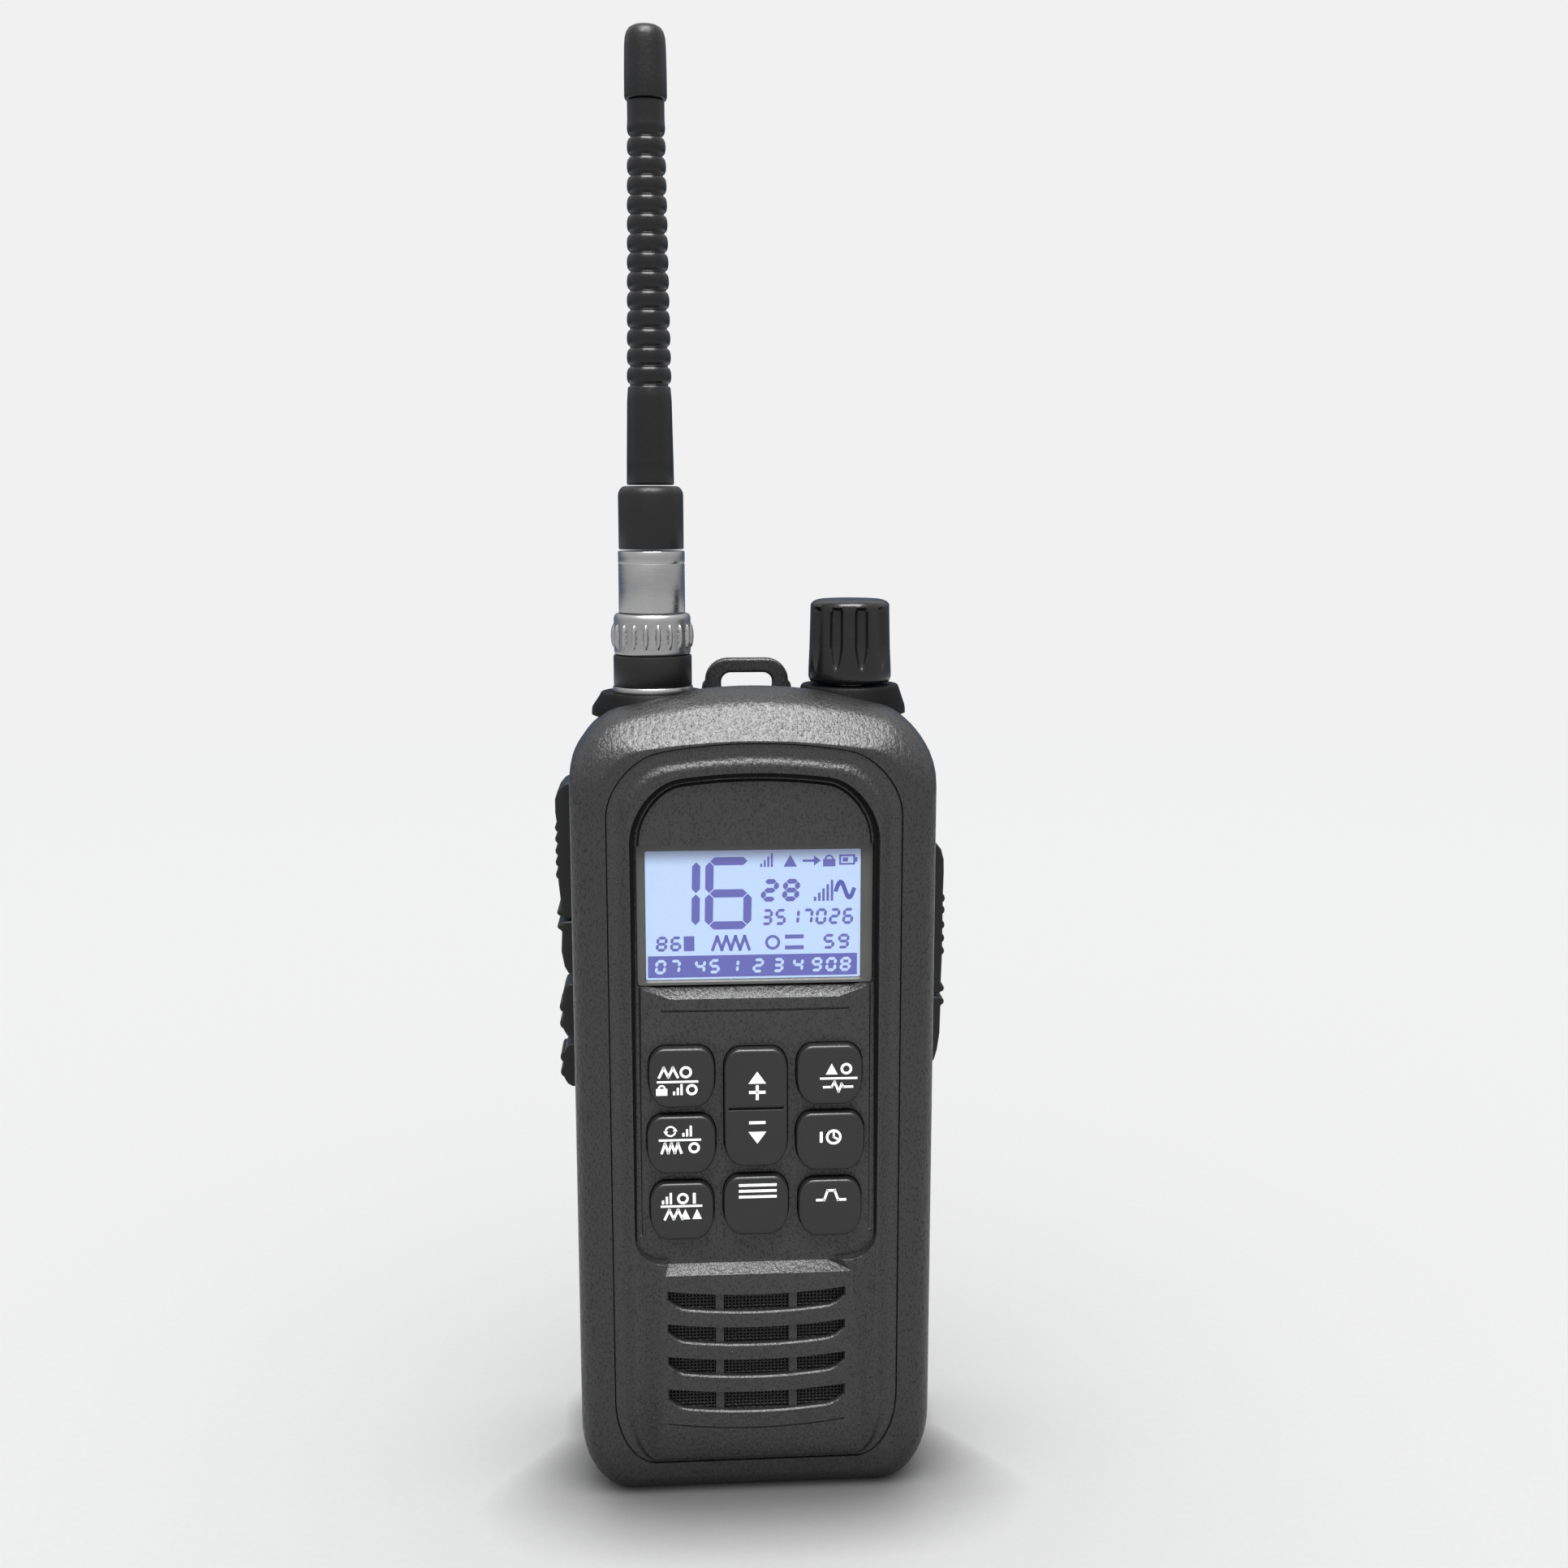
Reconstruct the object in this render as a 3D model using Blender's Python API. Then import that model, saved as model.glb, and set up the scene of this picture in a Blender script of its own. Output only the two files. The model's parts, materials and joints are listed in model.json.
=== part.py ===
"""Hand-held two-way radio: an upright case with a whip antenna, a volume knob, a lit display, a keypad,
a slotted speaker grille, side keys, a jack cover, a slide-out battery pack and a sprung belt clip.

Sizes are in millimetres and are turned into metres when a mesh is made. The origin is the middle of the
flat underside. +Z is up, the front faces -Y, and +X is to the right of someone facing the front."""

import math

import bmesh
import bpy

MM = 0.001
GAP = 0.3  # between pieces that rest on or sit in each other

# Case
CASE_HALF_WIDTH = 31.0
CASE_TOP = 142.2
CASE_FRONT = -18.0
CASE_BACK = 18.0
PARTING_Y = 8.5
WALL = 2.0
FRONT_WALL_BACK = -15.0
FLANGE_BACK = -13.7

# Front panel
PANEL_HALF_WIDTH = 24.7
PANEL_BOTTOM = 5.9
PANEL_TOP = 133.8
RECESS_FLOOR = -16.5
POCKET_FLOOR = -15.0

# Display
WINDOW_HALF_WIDTH = 19.8
WINDOW_BOTTOM = 92.2
WINDOW_TOP = 116.5
BEZEL_FRONT = -15.3
BEZEL_BACK = -14.5

# Keypad: (name, left, right, bottom, top) of each key
KEY_FRONT = -18.3
KEY_BACK = -14.6
KEY_CORNER = 2.5
KEYS = (
    ("key_lock", -18.2, -7.0, 71.5, 82.0),
    ("key_scan", -18.6, -6.9, 59.7, 70.0),
    ("key_mode", -18.2, -7.3, 47.7, 58.0),
    ("key_menu", -5.6, 5.6, 48.3, 58.9),
    ("key_squelch", 7.0, 18.2, 71.5, 82.0),
    ("key_watch", 6.9, 18.6, 59.7, 70.0),
    ("key_filter", 7.3, 18.2, 47.7, 58.0),
)
ROCKER = (-5.4, 5.4, 60.7, 81.6)
ROCKER_AXIS_Y = -15.5

# Speaker
SPEAKER_Z = 26.5
SPEAKER_RADIUS = 15.0
SLOT_HALF_WIDTH = 15.5
SLOT_HEIGHT = 3.2
SLOT_TOP = 37.3
SLOT_PITCH = 6.0
SLOT_RIB_X = 6.4
SLOT_RIB_WIDTH = 1.4
SLOT_SMILE = 1.0

# Top controls
ANTENNA_X = -16.8
KNOB_X = 17.7
TOP_Y = 2.0
BOSS_BOTTOM = 136.7
ANTENNA_BOSS_TOP = 140.5
KNOB_BOSS_TOP = 141.5
BOSS_SEAT_TOP = 143.0
ANTENNA_BOSS_RADIUS = 9.6
KNOB_BOSS_RADIUS = 9.2
JACK_HOLE_RADIUS = 5.2
SHAFT_RADIUS = 3.0
KNOB_RADIUS = 7.25
KNOB_BOTTOM = 142.0
KNOB_TOP = 156.4
KNOB_FLUTES = 10
NUT_BUMPS = 20

# Side controls
SIDE_Y = -1.0
PTT_PIVOT_X = -30.5
PTT_PIVOT_Z = 101.65
COVER_PIVOT_X = 33.9
COVER_PIVOT_Z = 87.0

# Battery pack and belt clip
BAY_HALF_WIDTH = 24.7
BAY_BOTTOM = 8.0
BAY_TOP = 104.0
BAY_FLOOR = 4.5
SCREW_PLACES = ((-21.0, 14.0), (21.0, 14.0))  # (x, z); hooks hold the top of the case
CONTACT_XS = (-8.0, 8.0)
CLIP_PIVOT_Y = 22.2
CLIP_PIVOT_Z = 92.0

ROUND = 24  # sides of a round piece


# ---------------------------------------------------------------- scene and materials


def clear_scene():
    for old in list(bpy.data.objects):
        bpy.data.objects.remove(old, do_unlink=True)


def material(name, colour, roughness, metallic=0.0):
    made = bpy.data.materials.new(name)
    made.use_nodes = True
    shader = made.node_tree.nodes["Principled BSDF"]
    shader.inputs["Base Color"].default_value = (*colour, 1.0)
    shader.inputs["Roughness"].default_value = roughness
    shader.inputs["Metallic"].default_value = metallic
    return made


def plastic_charcoal(name):
    return material(name, (0.055, 0.055, 0.057), 0.55)


def plastic_black(name):
    return material(name, (0.02, 0.02, 0.021), 0.4)


def rubber_black(name):
    return material(name, (0.018, 0.018, 0.018), 0.7)


def satin_metal(name):
    return material(name, (0.45, 0.45, 0.46), 0.3, 1.0)


def dark_metal(name):
    return material(name, (0.2, 0.2, 0.21), 0.4, 1.0)


def bezel_grey(name):
    return material(name, (0.12, 0.11, 0.1), 0.5)


def clear_lens(name):
    return material(name, (0.8, 0.82, 0.9), 0.08)


def lcd_blue(name):
    return material(name, (0.62, 0.68, 0.95), 0.2)


def backlight_white(name):
    return material(name, (0.85, 0.88, 1.0), 0.4)


def board_green(name):
    return material(name, (0.02, 0.12, 0.05), 0.5)


# ---------------------------------------------------------------- mesh helpers


def finish(name, mesh, look, pivot=(0, 0, 0)):
    """An object of this mesh (millimetres in world space), with its origin at pivot."""
    bmesh.ops.remove_doubles(mesh, verts=mesh.verts, dist=1e-4)
    bmesh.ops.recalc_face_normals(mesh, faces=mesh.faces)
    bmesh.ops.translate(mesh, verts=mesh.verts, vec=[-c for c in pivot])
    bmesh.ops.scale(mesh, verts=mesh.verts, vec=(MM, MM, MM))
    data = bpy.data.meshes.new(name)
    mesh.to_mesh(data)
    mesh.free()
    made = bpy.data.objects.new(name, data)
    made.location = [c * MM for c in pivot]
    bpy.context.scene.collection.objects.link(made)
    if look is not None:
        data.materials.append(look(name))
    data.shade_smooth()
    data.set_sharp_from_angle(angle=math.radians(35))
    return made


def helper(name, mesh):
    """A closed shape that cuts another piece or joins it, and isn't a piece itself."""
    made = finish(name, mesh, None)
    made.hide_render = True
    made.display_type = "WIRE"
    return made


def boolean(target, other, operation):
    step = target.modifiers.new(other.name, "BOOLEAN")
    step.operation = operation
    step.solver = "EXACT"
    step.object = other


def cut(target, *cutters):
    for cutter in cutters:
        boolean(target, cutter, "DIFFERENCE")


def join(target, *others):
    for other in others:
        boolean(target, other, "UNION")


def loft(mesh, rings, closed=False):
    """Skins a row of rings that hold the same number of points, and caps its ends."""
    rows = [[mesh.verts.new(p) for p in ring] for ring in rings]
    pairs = list(zip(rows, rows[1:]))
    if closed:
        pairs.append((rows[-1], rows[0]))
    for low, high in pairs:
        count = len(low)
        for i in range(count):
            j = (i + 1) % count
            mesh.faces.new((low[i], low[j], high[j], high[i]))
    if not closed:
        mesh.faces.new(rows[0])
        mesh.faces.new(rows[-1])
    return mesh


def along_y(sections, mesh=None):
    """Sections of (y, [(x, z), ...])."""
    mesh = mesh or bmesh.new()
    return loft(mesh, [[(x, y, z) for x, z in outline] for y, outline in sections])


def along_z(sections, mesh=None):
    """Sections of (z, [(x, y), ...])."""
    mesh = mesh or bmesh.new()
    return loft(mesh, [[(x, y, z) for x, y in outline] for z, outline in sections])


def along_x(sections, mesh=None):
    """Sections of (x, [(y, z), ...])."""
    mesh = mesh or bmesh.new()
    return loft(mesh, [[(x, y, z) for y, z in outline] for x, outline in sections])


def box(low, high, mesh=None):
    (x0, y0, z0), (x1, y1, z1) = low, high
    outline = [(x0, y0), (x1, y0), (x1, y1), (x0, y1)]
    return along_z([(z0, outline), (z1, outline)], mesh)


def arc(centre, radii, start, end, steps):
    """Points of an elliptical arc, its angles in degrees."""
    points = []
    for i in range(steps + 1):
        angle = math.radians(start + (end - start) * i / steps)
        points.append((centre[0] + radii[0] * math.cos(angle), centre[1] + radii[1] * math.sin(angle)))
    return points


def rounded_rect(left, right, bottom, top, radius, steps=4):
    radii = (radius, radius)
    return (
        arc((right - radius, bottom + radius), radii, -90, 0, steps)
        + arc((right - radius, top - radius), radii, 0, 90, steps)
        + arc((left + radius, top - radius), radii, 90, 180, steps)
        + arc((left + radius, bottom + radius), radii, 180, 270, steps)
    )


def circle(centre, radius, sides=ROUND):
    turn = 2 * math.pi / sides
    angles = [i * turn for i in range(sides)]
    return [(centre[0] + radius * math.cos(angle), centre[1] + radius * math.sin(angle)) for angle in angles]


def turned(profile, centre, sides=ROUND, mesh=None, radius_at=None):
    """Turns a closed profile of (radius, height) about a vertical line through centre.
    radius_at(radius, height, angle) can vary the radius round the turn."""
    mesh = mesh or bmesh.new()
    rings = []
    for i in range(sides):
        angle = 2 * math.pi * i / sides
        ring = []
        for radius, height in profile:
            r = radius_at(radius, height, angle) if radius_at else radius
            ring.append((centre[0] + r * math.cos(angle), centre[1] + r * math.sin(angle), height))
        rings.append(ring)
    return loft(mesh, rings, closed=True)


def solid_turned(profile, centre, sides=ROUND, mesh=None, radius_at=None):
    """Stacks flat-ended discs, for a profile of (radius, height) that has no bore."""
    mesh = mesh or bmesh.new()
    rings = []
    for radius, height in profile:
        ring = []
        for i in range(sides):
            angle = 2 * math.pi * i / sides
            r = radius_at(radius, height, angle) if radius_at else radius
            ring.append((centre[0] + r * math.cos(angle), centre[1] + r * math.sin(angle), height))
        rings.append(ring)
    return loft(mesh, rings)


def rod_along_y(centre, profile, sides=ROUND, mesh=None):
    """A round piece on a line along Y through centre (x, z), from a profile of (radius, y)."""
    return along_y([(y, circle(centre, radius, sides)) for radius, y in profile], mesh)


def rod_along_x(centre, profile, sides=16, mesh=None):
    return along_x([(x, circle(centre, radius, sides)) for radius, x in profile], mesh)


# ---------------------------------------------------------------- outlines


def upright_outline(half, bottom, top, low_corner, high_corner, crown, steps=5):
    """Outline of the case or panel in (x, z): rounded corners and a crowned top edge.
    crown is how far the middle of the top edge stands above its ends."""
    low_x, low_z = low_corner
    high_x, high_z = high_corner
    flat = top - crown

    def lift(x, z):
        return crown * max(0.0, 1 - (x / half) ** 2) * (z - flat + high_z) / high_z

    def raised(points):
        return [(x, z + lift(x, z)) for x, z in points]

    right_low = arc((half - low_x, bottom + low_z), (low_x, low_z), -90, 0, steps)
    right_high = arc((half - high_x, flat - high_z), (high_x, high_z), 0, 90, steps)
    span = half - high_x
    across = [(span * (1 - i / 3), flat) for i in range(1, 6)]
    left_high = [(-x, z) for x, z in reversed(right_high)]
    left_low = [(-x, z) for x, z in reversed(right_low)]
    return right_low + raised(right_high + across + left_high) + left_low


def case_outline(half=CASE_HALF_WIDTH, bottom=0.0, top=CASE_TOP, crown=3.5):
    return upright_outline(half, bottom, top, (6.5, 13.0), (8.0, 9.0), crown)


def grown(outline, grow):
    """The same outline with each point moved out by grow, square to the line between its neighbours."""
    moved = []
    count = len(outline)
    for i, (x, z) in enumerate(outline):
        (ax, az), (bx, bz) = outline[i - 1], outline[(i + 1) % count]
        length = math.hypot(bx - ax, bz - az)
        moved.append((x + grow * (bz - az) / length, z - grow * (bx - ax) / length))
    return moved


def panel_outline(grow=0.0):
    shape = upright_outline(PANEL_HALF_WIDTH, PANEL_BOTTOM, PANEL_TOP, (7.0, 12.0), (9.0, 9.0), 3.4)
    return grown(shape, grow)


def recess_outline(grow=0.0):
    return grown(upright_outline(20.9, 43.2, 128.9, (5.0, 5.0), (8.5, 9.5), 2.4), grow)


# ---------------------------------------------------------------- case


def front_shell():
    corner = (6.5, 13.0)
    top_corner = (7.8, 7.6)
    sections = [
        (CASE_FRONT, upright_outline(28.2, 1.8, 134.3, (6.0, 12.0), (9.6, 9.6), 3.4)),
        (-17.3, upright_outline(29.7, 0.9, 135.0, (6.3, 12.5), (9.2, 9.0), 3.5)),
        (-15.4, upright_outline(30.8, 0.3, 137.0, corner, (8.6, 8.0), 4.4)),
        (-13.0, upright_outline(CASE_HALF_WIDTH, 0.0, 139.6, corner, top_corner, 5.2)),
        (-11.2, upright_outline(CASE_HALF_WIDTH, 0.0, 141.1, corner, top_corner, 5.8)),
        (-8.5, upright_outline(CASE_HALF_WIDTH, 0.0, 142.0, corner, top_corner, 6.2)),
        (-6.0, upright_outline(CASE_HALF_WIDTH, 0.0, CASE_TOP, corner, top_corner, 6.2)),
        (-3.4, upright_outline(CASE_HALF_WIDTH, 0.0, 141.8, corner, top_corner, 6.0)),
        (0.0, upright_outline(CASE_HALF_WIDTH, 0.0, 139.8, corner, top_corner, 4.2)),
        (PARTING_Y, case_outline(top=138.9)),
    ]
    shell = finish("front_shell", along_y(sections), plastic_charcoal)
    half = CASE_HALF_WIDTH - WALL
    hollow = [
        (FRONT_WALL_BACK, upright_outline(half, WALL, 134.9, (5.5, 12.0), (8.0, 9.0), 3.0)),
        (-9.0, upright_outline(half, WALL, 134.9, (5.5, 12.0), (8.0, 9.0), 3.0)),
        (PARTING_Y + 1.0, upright_outline(half, WALL, 134.0, (5.5, 12.0), (8.0, 9.0), 2.5)),
    ]
    opening = panel_outline(GAP)
    holes = bmesh.new()
    jack_hole = circle((ANTENNA_X, TOP_Y), JACK_HOLE_RADIUS)
    shaft_hole = circle((KNOB_X, TOP_Y), SHAFT_RADIUS + 0.4)
    along_z([(130.0, jack_hole), (CASE_TOP + 1, jack_hole)], holes)
    along_z([(130.0, shaft_hole), (CASE_TOP + 1, shaft_hole)], holes)
    windows = bmesh.new()
    side_window(-1, 91.0, 126.3, 10.6, windows)
    side_window(-1, 79.6, 90.3, 8.6, windows)
    side_window(-1, 70.9, 79.2, 8.6, windows)
    side_window(1, 90.0, 109.0, 8.6, windows)
    cut(
        shell,
        helper("front_shell_hollow", along_y(hollow)),
        helper("front_shell_opening", along_y([(CASE_FRONT - 1, opening), (FRONT_WALL_BACK + 1, opening)])),
        boss_seats("front_shell_seats"),
        helper("front_shell_holes", holes),
        helper("front_shell_windows", windows),
    )


def boss_seats(name):
    """Round pockets in the top of the case for the antenna's and the knob's bosses."""
    pockets = bmesh.new()
    for centre_x, radius in ((ANTENNA_X, ANTENNA_BOSS_RADIUS), (KNOB_X, KNOB_BOSS_RADIUS)):
        seat = circle((centre_x, TOP_Y), radius + GAP)
        along_z([(BOSS_BOTTOM - GAP, seat), (BOSS_SEAT_TOP, seat)], pockets)
    return helper(name, pockets)


def side_window(side, bottom, top, width, mesh):
    """A hole through the left (-1) or right (1) wall of the case."""
    low, high = SIDE_Y - width / 2, SIDE_Y + width / 2
    xs = sorted((side * (CASE_HALF_WIDTH - WALL - 1.0), side * (CASE_HALF_WIDTH + 1.0)))
    box((xs[0], low, bottom), (xs[1], high, top), mesh)


def rear_shell():
    low_y = PARTING_Y + GAP
    sections = [
        (low_y, case_outline(top=138.9)),
        (14.0, case_outline(top=138.4)),
        (16.6, case_outline(half=30.2, bottom=0.5, top=136.8)),
        (CASE_BACK, case_outline(half=28.0, bottom=2.0, top=133.5, crown=3.0)),
    ]
    shell = finish("rear_shell", along_y(sections), plastic_black)
    wall = 1.8
    tub_half = BAY_HALF_WIDTH + wall
    tub = rounded_rect(-tub_half, tub_half, BAY_BOTTOM - wall, BAY_TOP + wall, 3.0, 3)
    bay = box((-BAY_HALF_WIDTH, BAY_FLOOR, BAY_BOTTOM), (BAY_HALF_WIDTH, CASE_BACK + 2, BAY_TOP))
    upper = rounded_rect(-27.5, 27.5, BAY_TOP + 3.6, 132.5, 4.0)
    catch = box((-8.0, 15.4, 4.9), (8.0, CASE_BACK + 2, BAY_BOTTOM + 1))
    tang = box((-7.4, 10.2, 130.0), (7.4, 13.0, 142.0))
    screws = bmesh.new()
    contacts = bmesh.new()
    for x, z in SCREW_PLACES:
        rod_along_y((x, z), [(1.9, 0.0), (1.9, BAY_FLOOR + 1.0)], 12, screws)
    for x in CONTACT_XS:
        box((x - 1.8, 0.0, 94.0), (x + 1.8, BAY_FLOOR + 1.0, 100.6), contacts)
    join(shell, helper("rear_shell_tub", along_y([(BAY_FLOOR - 1.5, tub), (12.0, tub)])))
    cut(
        shell,
        helper("rear_shell_bay", bay),
        helper("rear_shell_upper_hollow", along_y([(low_y - 1, upper), (16.0, upper)])),
        helper("rear_shell_catch_notch", catch),
        helper("rear_shell_eyelet_slot", tang),
        boss_seats("rear_shell_seats"),
        helper("rear_shell_screw_holes", screws),
        helper("rear_shell_contact_holes", contacts),
    )


def case_screws():
    for number, place in enumerate(SCREW_PLACES, 1):
        profile = [(1.2, -1.9), (1.2, 2.4), (1.6, 2.4), (1.6, 4.3)]
        finish(f"case_screw_{number}", rod_along_y(place, profile, 12), satin_metal)


def case_seal():
    """Gasket in a frame's shape, just inside the case walls at the parting plane."""
    outer = upright_outline(28.7, 2.3, 133.6, (5.4, 11.8), (7.8, 8.8), 2.4)
    inner = upright_outline(27.8, 3.2, 132.7, (5.2, 11.4), (7.4, 8.4), 2.4)
    low, high = PARTING_Y - 1.8, PARTING_Y - 0.4
    rings = [
        [(x, low, z) for x, z in outer],
        [(x, high, z) for x, z in outer],
        [(x, high, z) for x, z in inner],
        [(x, low, z) for x, z in inner],
    ]
    finish("case_seal", loft(bmesh.new(), rings, closed=True), rubber_black)


def strap_eyelet():
    """Loop on a tang: an arch with a long hole under it."""
    low_y, high_y = 10.5, 12.7
    right = [(7.1, 130.6), (7.1, 139.2), (8.2, 139.25), (7.95, 140.8)]
    right += arc((3.4, 141.4), (4.1, 4.0), 0, 90, 5)
    outline = right + [(-x, z) for x, z in reversed(right)]
    hole = rounded_rect(-4.6, 4.6, 139.0, 143.3, 1.6)
    eyelet = finish("strap_eyelet", along_y([(low_y, outline), (high_y, outline)]), plastic_black)
    cut(eyelet, helper("strap_eyelet_hole", along_y([(low_y - 1, hole), (high_y + 1, hole)])))


# ---------------------------------------------------------------- front panel, display and keypad


def smile_slot(number, left, right, inset=0.0):
    """Outline of a speaker slot between two x places: both edges sag towards the middle."""
    top = SLOT_TOP - number * SLOT_PITCH
    count = 6

    def sag(x):
        return SLOT_SMILE * (x / SLOT_HALF_WIDTH) ** 2

    xs = [left + (right - left) * i / count for i in range(count + 1)]
    upper = [(x, top - inset + sag(x)) for x in xs]
    lower = [(x, top - SLOT_HEIGHT + inset + 1.5 * sag(x)) for x in xs]
    return lower + upper[::-1]


def speaker_slots(depth_of_groove=1.0):
    """The grooves of the slots, and the holes between their ribs."""
    grooves, holes = bmesh.new(), bmesh.new()
    rib, ledge = SLOT_RIB_WIDTH / 2, 0.25
    end = SLOT_HALF_WIDTH - ledge
    spans = ((-end, -SLOT_RIB_X - rib), (-SLOT_RIB_X + rib, SLOT_RIB_X - rib), (SLOT_RIB_X + rib, end))
    for number in range(4):
        outline = smile_slot(number, -SLOT_HALF_WIDTH, SLOT_HALF_WIDTH)
        along_y([(CASE_FRONT - 1, outline), (CASE_FRONT + depth_of_groove, outline)], grooves)
        for left, right in spans:
            outline = smile_slot(number, left, right, ledge)
            along_y([(CASE_FRONT - 1, outline), (FLANGE_BACK + 1, outline)], holes)
    return helper("speaker_slot_grooves", grooves), helper("speaker_slot_holes", holes)


def front_panel():
    flange = panel_outline(0.9)
    wide = panel_outline()
    sections = [
        (CASE_FRONT, panel_outline(-0.8)),
        (CASE_FRONT + 0.4, wide),
        (FRONT_WALL_BACK + GAP, wide),
        (FRONT_WALL_BACK + GAP + 0.01, flange),
        (FLANGE_BACK, flange),
    ]
    panel = finish("front_panel", along_y(sections), plastic_charcoal)
    front, back = CASE_FRONT - 1, FLANGE_BACK + 1
    recess = [
        (front, recess_outline(0.5)),
        (CASE_FRONT, recess_outline(0.3)),
        (RECESS_FLOOR, recess_outline(-0.1)),
    ]
    half = WINDOW_HALF_WIDTH + GAP
    window = rounded_rect(-half, half, WINDOW_BOTTOM - GAP, WINDOW_TOP + GAP, 0.6)
    back_pocket = rounded_rect(-22.3, 22.3, 9.5, 124.0, 3.0)
    chin_narrow = [(-14.2, 89.6), (14.2, 89.6), (18.4, 91.4), (18.4, 94.2), (-18.4, 94.2), (-18.4, 91.4)]
    chin_wide = [(-17.6, 91.7), (17.6, 91.7), (18.4, 92.2), (18.4, 94.2), (-18.4, 94.2), (-18.4, 92.2)]
    chin = [(RECESS_FLOOR - 0.5, chin_narrow), (POCKET_FLOOR - 0.2, chin_wide)]
    bar_high = [(-15.9, 40.0), (16.2, 40.0), (12.6, 44.0), (-15.2, 44.0)]
    bar_low = [(-15.3, 42.0), (13.0, 42.0), (12.6, 44.0), (-15.2, 44.0)]
    bar = [(CASE_FRONT - 0.7, bar_high), (RECESS_FLOOR, bar_low)]
    holes = bmesh.new()
    for key in KEYS:
        key_hole(key[1:], holes)
    key_hole(ROCKER, holes)
    cut(
        panel,
        helper("front_panel_recess", along_y(recess)),
        helper("front_panel_back_pocket", along_y([(POCKET_FLOOR, back_pocket), (back, back_pocket)])),
        helper("front_panel_window", along_y([(front, window), (back, window)])),
        helper("front_panel_window_chin", along_y(chin)),
        helper("front_panel_bar", along_y(bar)),
        helper("front_panel_key_holes", holes),
        *speaker_slots(),
    )


def key_hole(place, mesh):
    left, right, bottom, top = place
    outline = rounded_rect(left - GAP, right + GAP, bottom - GAP, top + GAP, KEY_CORNER + GAP)
    along_y([(RECESS_FLOOR - 2, outline), (FLANGE_BACK + 1, outline)], mesh)


def key_cap(place, mesh=None):
    """A key with a rounded front edge."""
    left, right, bottom, top = place
    steps = ((1.0, KEY_FRONT), (0.35, KEY_FRONT + 0.3), (0.0, KEY_FRONT + 1.0), (0.0, KEY_BACK))
    sections = []
    for inset, y in steps:
        radius = KEY_CORNER - inset * 0.4
        sections.append((y, rounded_rect(left + inset, right - inset, bottom + inset, top - inset, radius)))
    return along_y(sections, mesh)


def keypad():
    for key in KEYS:
        name, left, right, bottom, top = key
        pivot = ((left + right) / 2, KEY_BACK, (bottom + top) / 2)
        finish(name, key_cap(key[1:]), rubber_black, pivot)
    middle = (ROCKER[2] + ROCKER[3]) / 2
    rocker = finish("channel_rocker", key_cap(ROCKER), rubber_black, (0.0, ROCKER_AXIS_Y, middle))
    groove = box((-4.8, KEY_FRONT - 1, middle - 0.25), (4.8, KEY_FRONT + 0.3, middle + 0.25))
    cut(rocker, helper("channel_rocker_groove", groove))
    mat = along_y([(y, rounded_rect(-20.5, 20.5, 45.5, 85.0, 2.0)) for y in (-13.4, -12.2)])
    sheet = finish("keypad_mat", mat, rubber_black)
    domes = bmesh.new()
    for _, left, right, bottom, top in KEYS:
        rod_along_y(((left + right) / 2, (bottom + top) / 2), [(2.0, -13.7), (2.6, -12.6)], 12, domes)
    for z in (ROCKER[2] + 5.0, ROCKER[3] - 5.0):
        rod_along_y((0.0, z), [(2.0, -13.7), (2.6, -12.6)], 12, domes)
    join(sheet, helper("keypad_mat_domes", domes))


def frame_along_y(name, outer, inner, low, high, look):
    """A flat frame: outer outline with the inner one as its hole."""
    rings = [
        [(x, low, z) for x, z in outer],
        [(x, high, z) for x, z in outer],
        [(x, high, z) for x, z in inner],
        [(x, low, z) for x, z in inner],
    ]
    return finish(name, loft(bmesh.new(), rings, closed=True), look)


def display():
    outer = rounded_rect(-WINDOW_HALF_WIDTH, WINDOW_HALF_WIDTH, WINDOW_BOTTOM, WINDOW_TOP, 0.5, 2)
    inner = rounded_rect(-18.3, 18.3, 93.0, 115.7, 0.4, 2)
    frame_along_y("lcd_bezel", outer, inner, BEZEL_FRONT, BEZEL_BACK, bezel_grey)
    lens = rounded_rect(-18.0, 18.0, 93.3, 115.4, 0.4, 2)
    finish("lcd_lens", along_y([(BEZEL_FRONT + GAP, lens), (BEZEL_BACK, lens)]), clear_lens)
    lcd = rounded_rect(-20.5, 20.5, 91.0, 118.0, 0.6, 2)
    finish("lcd_module", along_y([(-14.2, lcd), (-12.8, lcd)]), lcd_blue)
    finish("backlight", along_y([(-12.5, lcd), (-11.3, lcd)]), backlight_white)


# ---------------------------------------------------------------- inside


def speaker():
    mesh_outline = rounded_rect(-19.0, 19.0, 11.5, 41.5, 3.0)
    finish("speaker_mesh", along_y([(-14.9, mesh_outline), (-14.5, mesh_outline)]), dark_metal)
    centre = (0.0, SPEAKER_Z)
    rim, inner, magnet = SPEAKER_RADIUS, SPEAKER_RADIUS - 1.2, 8.0
    profile = [(rim, -14.2), (rim, -12.6), (magnet + 3, -9.2), (magnet, -9.2), (magnet, -6.2)]
    frame = finish("speaker_frame", rod_along_y(centre, profile), dark_metal)
    hollow = rod_along_y(centre, [(inner, -15.2), (inner, -12.4), (6.0, -10.4)])
    cut(frame, helper("speaker_frame_hollow", hollow))
    cone = rod_along_y(centre, [(13.3, -14.0), (13.3, -13.5), (5.4, -11.6), (4.8, -12.2)])
    finish("speaker_cone", cone, rubber_black)
    finish("microphone", rod_along_y((12.0, 7.9 + 2.2), [(2.0, -13.2), (2.0, -10.8)], 16), satin_metal)


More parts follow.
